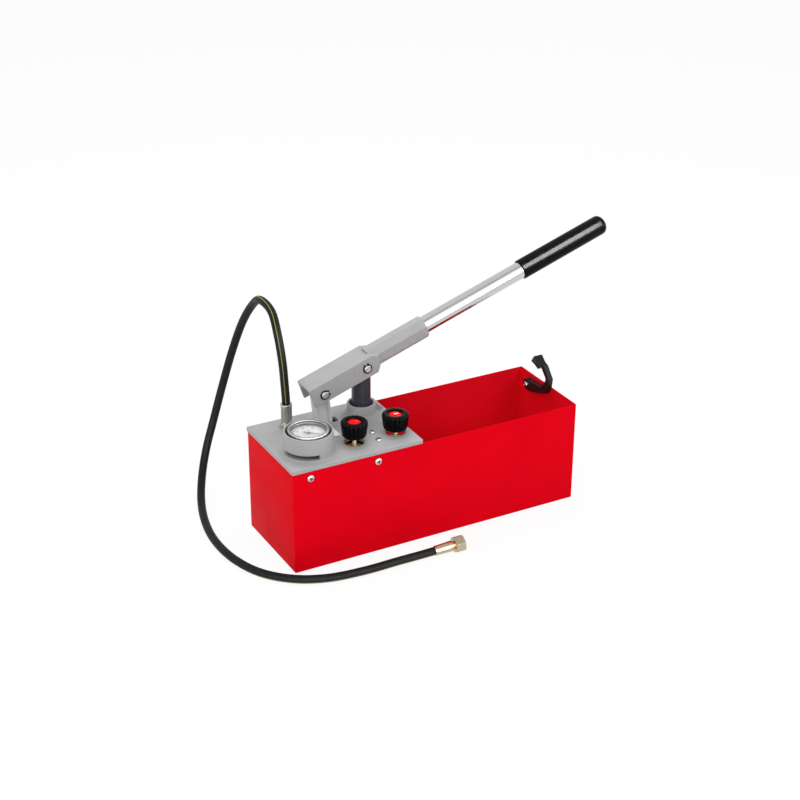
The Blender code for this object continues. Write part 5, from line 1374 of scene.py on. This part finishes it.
FEED_Z, FEED_BEND, FEED_RADIUS, FEED_START = 0.053, 0.028, 0.005, PUMP_Y - 0.0117
shape = bmesh.new()
bmesh.ops.create_circle(
    shape, cap_ends=True, radius=FEED_RADIUS, segments=32,
    matrix=at((PUMP_X, FEED_START, FEED_Z), (90, "X")),
)


def run_on(shape, edges, way):
    """Draw the open end of a pipe out along a straight line."""
    drawn = bmesh.ops.extrude_edge_only(shape, edges=edges)["geom"]
    ends = [part for part in drawn if isinstance(part, bmesh.types.BMVert)]
    bmesh.ops.translate(shape, vec=way, verts=ends)
    return [part for part in drawn if isinstance(part, bmesh.types.BMEdge) and part.is_boundary]


mouth = run_on(shape, shape.edges[:], (0, KNOB_Y + FEED_BEND - FEED_START, 0))
mouth_verts = list({vert for edge in mouth for vert in edge.verts})
swept = bmesh.ops.spin(
    shape, geom=mouth_verts + mouth, cent=(PUMP_X, KNOB_Y + FEED_BEND, FEED_Z + FEED_BEND), axis=(1, 0, 0),
    dvec=(0, 0, 0), angle=-math.pi / 2, steps=16, use_duplicate=False,
)["geom_last"]
mouth = [part for part in swept if isinstance(part, bmesh.types.BMEdge)]
mouth = run_on(shape, mouth, (0, 0, BLOCK_LOW + 0.0055 - FEED_Z - FEED_BEND))
bmesh.ops.holes_fill(shape, edges=mouth, sides=0)
bmesh.ops.recalc_face_normals(shape, faces=shape.faces)
feed = add_piece("feed_line", shape, "pump_base", ["feed_pipe"], [nickel])
round_edges(feed, 0.0004, 2, 50.0)


# Hose fittings
# Each end of the hose is crimped in a ferrule with eight flats, nickel plated at the pump and of plated brass
# at the other end. The one at the pump sits on the connector, and the other holds the brass tail of a loose
# union nut.
def crimped(name, levels, place, node, finish, bore=None):
    """A ferrule: levels of (height, radius, flats), where the crimping jaws pressed flats into it."""
    shape = bmesh.new()
    rings = []
    for height, radius, flats in levels:
        ring = bmesh.ops.create_circle(shape, cap_ends=False, radius=radius, segments=96)["verts"]
        for vert in ring:
            corner = (math.atan2(vert.co.y, vert.co.x) % (math.pi / 4)) - math.pi / 8
            vert.co *= min(1.0, (1 - flats / radius) / math.cos(corner))
            vert.co.z = height
        rings.append(ring)
    join_rings(shape, rings)
    mesh = mesh_from(shape, place)
    if bore:
        mesh = carve(mesh, bore)
    ferrule = add_piece(name, mesh, "pump_base", [node], [finish])
    ferrule.data.set_sharp_from_angle(angle=math.radians(28))
    return ferrule


FERRULE_BOTTOM, FERRULE_TOP = 0.1848, 0.2226
base_levels = [
    (FERRULE_BOTTOM, 0.0104, 0), (FERRULE_BOTTOM + 0.0004, 0.0108, 0), (FERRULE_BOTTOM + 0.0022, 0.0108, 0),
    (FERRULE_BOTTOM + 0.0032, 0.0094, 0), (FERRULE_BOTTOM + 0.0046, 0.0092, 0),
    (FERRULE_BOTTOM + 0.0056, 0.0092, 0.0004), (FERRULE_TOP - 0.0050, 0.0093, 0.0004),
    (FERRULE_TOP - 0.0038, 0.0095, 0), (FERRULE_TOP - 0.0010, 0.0095, 0), (FERRULE_TOP - 0.0003, 0.0093, 0),
    (FERRULE_TOP, 0.0089, 0), (FERRULE_TOP, 0.0071, 0), (FERRULE_TOP - 0.0004, 0.0069, 0),
]
foot_bore = turned([(0, 0.180), (0.0074, 0.180), (0.0074, 0.1905), (0, 0.1905)], hose_foot)
crimped("base_ferrule", base_levels, hose_foot, "hose_ferrule_base", nickel, foot_bore)
peep = [(0, 0), (0.0016, 0), (0.0016, 0.0006), (0, 0.0008)]
peep_stand = at((HOSE_X, HOSE_Y, 0.1907), (219, "Z"), (90, "Y")) @ Matrix.Translation((0, 0, 0.0089))
turn_piece("inspection_plug", peep, peep_stand, "pump_base", (), brass, 0, 32)

NUT_CENTRE = Vector((0.0015, -0.1442, 0.0126))
NUT_HALF, NUT_HEX = 0.00825, 0.024 / math.sqrt(3)
NUT_WALL = 0.0035 - NUT_HALF
END_REAR, END_FRONT = -0.0425, -0.0115
nut_aim = at(NUT_CENTRE, (-4, "Z"), (86, "Y"))
end_levels = [
    (END_REAR, 0.0069, 0), (END_REAR, 0.0073, 0), (END_REAR + 0.0005, 0.0078, 0),
    (END_REAR + 0.0030, 0.0080, 0), (END_REAR + 0.0040, 0.0080, 0.0003),
    (END_FRONT - 0.0080, 0.0083, 0.0003), (END_FRONT - 0.0068, 0.0084, 0), (END_FRONT - 0.0050, 0.0086, 0),
    (END_FRONT - 0.0008, 0.0086, 0), (END_FRONT - 0.0002, 0.0083, 0), (END_FRONT, 0.0078, 0),
]
champagne = worked_metal(
    "plated brass", (0.55, 0.46, 0.33), (0.48, 0.39, 0.27), 0.30, (1.0, 1.0, 1.0), scale=300.0,
    depth=0.000003,
)
end_ferrule = crimped("end_ferrule", end_levels, nut_aim, "hose_ferrule_end", champagne)
TAIL_RADIUS, TAIL_FLANGE = 0.0060, 0.0086
tail = [
    (0, END_FRONT + 0.0003), (TAIL_RADIUS, END_FRONT + 0.0003), (TAIL_RADIUS, -0.0068), (0.0054, -0.0060),
    (TAIL_RADIUS, NUT_WALL), (TAIL_RADIUS, NUT_WALL + 0.0003), (TAIL_FLANGE, NUT_WALL + 0.0003),
    (TAIL_FLANGE, NUT_WALL + 0.0033), (0.0052, 0.003), (0, 0.003),
]
hose_tail = turn_piece("tail_fitting", tail, nut_aim, "pump_base", ["hose_tail"], brass, 0.0002, 64)
shape = prism(NUT_HEX, 2 * NUT_HALF, nut_aim @ Matrix.Rotation(math.pi / 6, 4, "Z"), 6)
corner_cuts = []
for side in (-1, 1):
    above, below = side * (NUT_HALF + 0.0005), side * (NUT_HALF - 0.0025)
    ring = [(0.0118, above), (0.0170, above), (0.0170, below)]
    corner_cuts.append(turned(ring, nut_aim, 96))
# Six thread grooves follow the mouth of the bore
thread_bore = [(0, NUT_HALF + 0.005), (0.0102, NUT_HALF + 0.005), (0.0102, NUT_HALF)]
for i in range(6):
    crest = NUT_HALF - 0.0008 - 0.0018 * i
    thread_bore += [(0.0092, crest), (0.0099, crest - 0.0009)]
thread_bore += [(0.0094, NUT_WALL), (0.0064, NUT_WALL), (0.0064, -NUT_HALF - 0.005), (0, -NUT_HALF - 0.005)]
nut_mesh = carve(shape, turned(thread_bore, nut_aim, 96))
nut_mesh = carve(nut_mesh, *corner_cuts)
coupling_nut = add_piece("coupling_nut", nut_mesh, "union_nut", ["union_nut"], [champagne])
round_edges(coupling_nut, 0.0003, 2, 25.0)
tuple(HOSE_ROUTE[0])


# Lever hook
# A moulded black hook that swings over the grip to hold the lever down. It turns on a zinc
# plated screw through the tank's right end, with a nut outside.
HOOK_PIVOT = Vector((0.2521, 0.052, 0.157))
HOOK_HALF, HOOK_EYE, HOOK_PAD_X = 0.0045, 0.0095, -0.0116
HOOK_OPENED = 6.5
BOLT_HEAD, BOLT_RADIUS, BOLT_HOLE = 0.0050, 0.0030, 0.0033
HOOK_NUT_HEX, HOOK_NUT_HEIGHT = 0.010 / math.sqrt(3), 0.005
HOOK_OUTLINE = (
    (-0.0009, -0.0094), (-0.0090, -0.0085), (-0.0294, -0.0005), (-0.0572, 0.0135), (-0.0626, 0.0269),
    (-0.0630, 0.0427), (-0.0449, 0.0595), (-0.0348, 0.0621), (-0.0233, 0.0697), (-0.0170, 0.0572),
    (-0.0300, 0.0554), (-0.0389, 0.0531), (-0.0528, 0.0419), (-0.0544, 0.0382), (-0.0490, 0.0262),
    (-0.0425, 0.0178), (-0.0019, 0.0094),
)
HOOK_PAD = HOOK_OUTLINE[6:12]
hook_stand = at(HOOK_PIVOT, (HOOK_OPENED, "X"))
hook_black = plain(
    "black hook nylon", (0.007, 0.007, 0.007), (0.010, 0.010, 0.010), 0.36, 0.22, 900.0, 0.00003
)
curve = plate(HOOK_OUTLINE, 2 * HOOK_HALF, hook_stand @ across)
pad = plate(
    HOOK_PAD, HOOK_HALF - HOOK_PAD_X,
    hook_stand @ Matrix.Translation(((HOOK_HALF + HOOK_PAD_X) / 2, 0, 0)) @ across,
)
eye_profile = [(0, -HOOK_HALF), (HOOK_EYE, -HOOK_HALF), (HOOK_EYE, HOOK_HALF), (0, HOOK_HALF)]
eye = turned(eye_profile, hook_stand @ along_x, 64)
hole = turned(
    [(0, -0.02), (BOLT_HOLE, -0.02), (BOLT_HOLE, 0.02), (0, 0.02)], hook_stand @ along_x, 32
)
lever_hook = add_piece(
    "lever_hook", carve(united(curve, pad, eye), hole), "hook", ["hook"], [hook_black]
)
round_edges(lever_hook, 0.0009, 3, 25.0)
hook_axis = at(HOOK_PIVOT, (90, "Y"))
head, wall_out = -HOOK_HALF - 0.0003, TANK_LENGTH / 2 - HOOK_PIVOT.x + 0.0003
shank_end = wall_out + 0.0065
bolt = head_dome(BOLT_HEAD, head - 0.0006, -0.0030, 0.8)
bolt += [
    (BOLT_HEAD, head), (BOLT_RADIUS, head), (BOLT_RADIUS, shank_end - 0.0006), (0.0025, shank_end),
    (0, shank_end),
]
bolt_mesh = mesh_from(turned(bolt))
bolt_mesh.transform(Matrix.Rotation(math.pi, 4, "X"))
bolt_mesh = carve(bolt_mesh, *cross_recess(BOLT_HEAD, 0.0010, 0.0036 - head, 0.0018))
bolt_mesh.transform(hook_axis @ Matrix.Rotation(math.pi, 4, "X"))
hook_screw = add_piece("hook_screw", bolt_mesh, "pump_base", ["hook_bolt"], [zinc])
hook_screw.data.set_sharp_from_angle(angle=math.radians(40))
nut_middle = hook_axis @ Matrix.Translation((0, 0, wall_out + HOOK_NUT_HEIGHT / 2))
shape = prism(HOOK_NUT_HEX, HOOK_NUT_HEIGHT, nut_middle, 6)
nut_hole = turned([(0, -0.01), (BOLT_HOLE, -0.01), (BOLT_HOLE, 0.03), (0, 0.03)], hook_axis, 32)
nut_mesh = carve(shape, nut_hole)
hook_nut = add_piece("hook_screw_nut", nut_mesh, "pump_base", ["hook_nut"], [zinc])
round_edges(hook_nut, 0.0005, 2, 25.0)


visual_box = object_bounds()
boxes = {"cad": cad_box, "visual": visual_box}
{key: [list(corner) for corner in value] for key, value in boxes.items()}
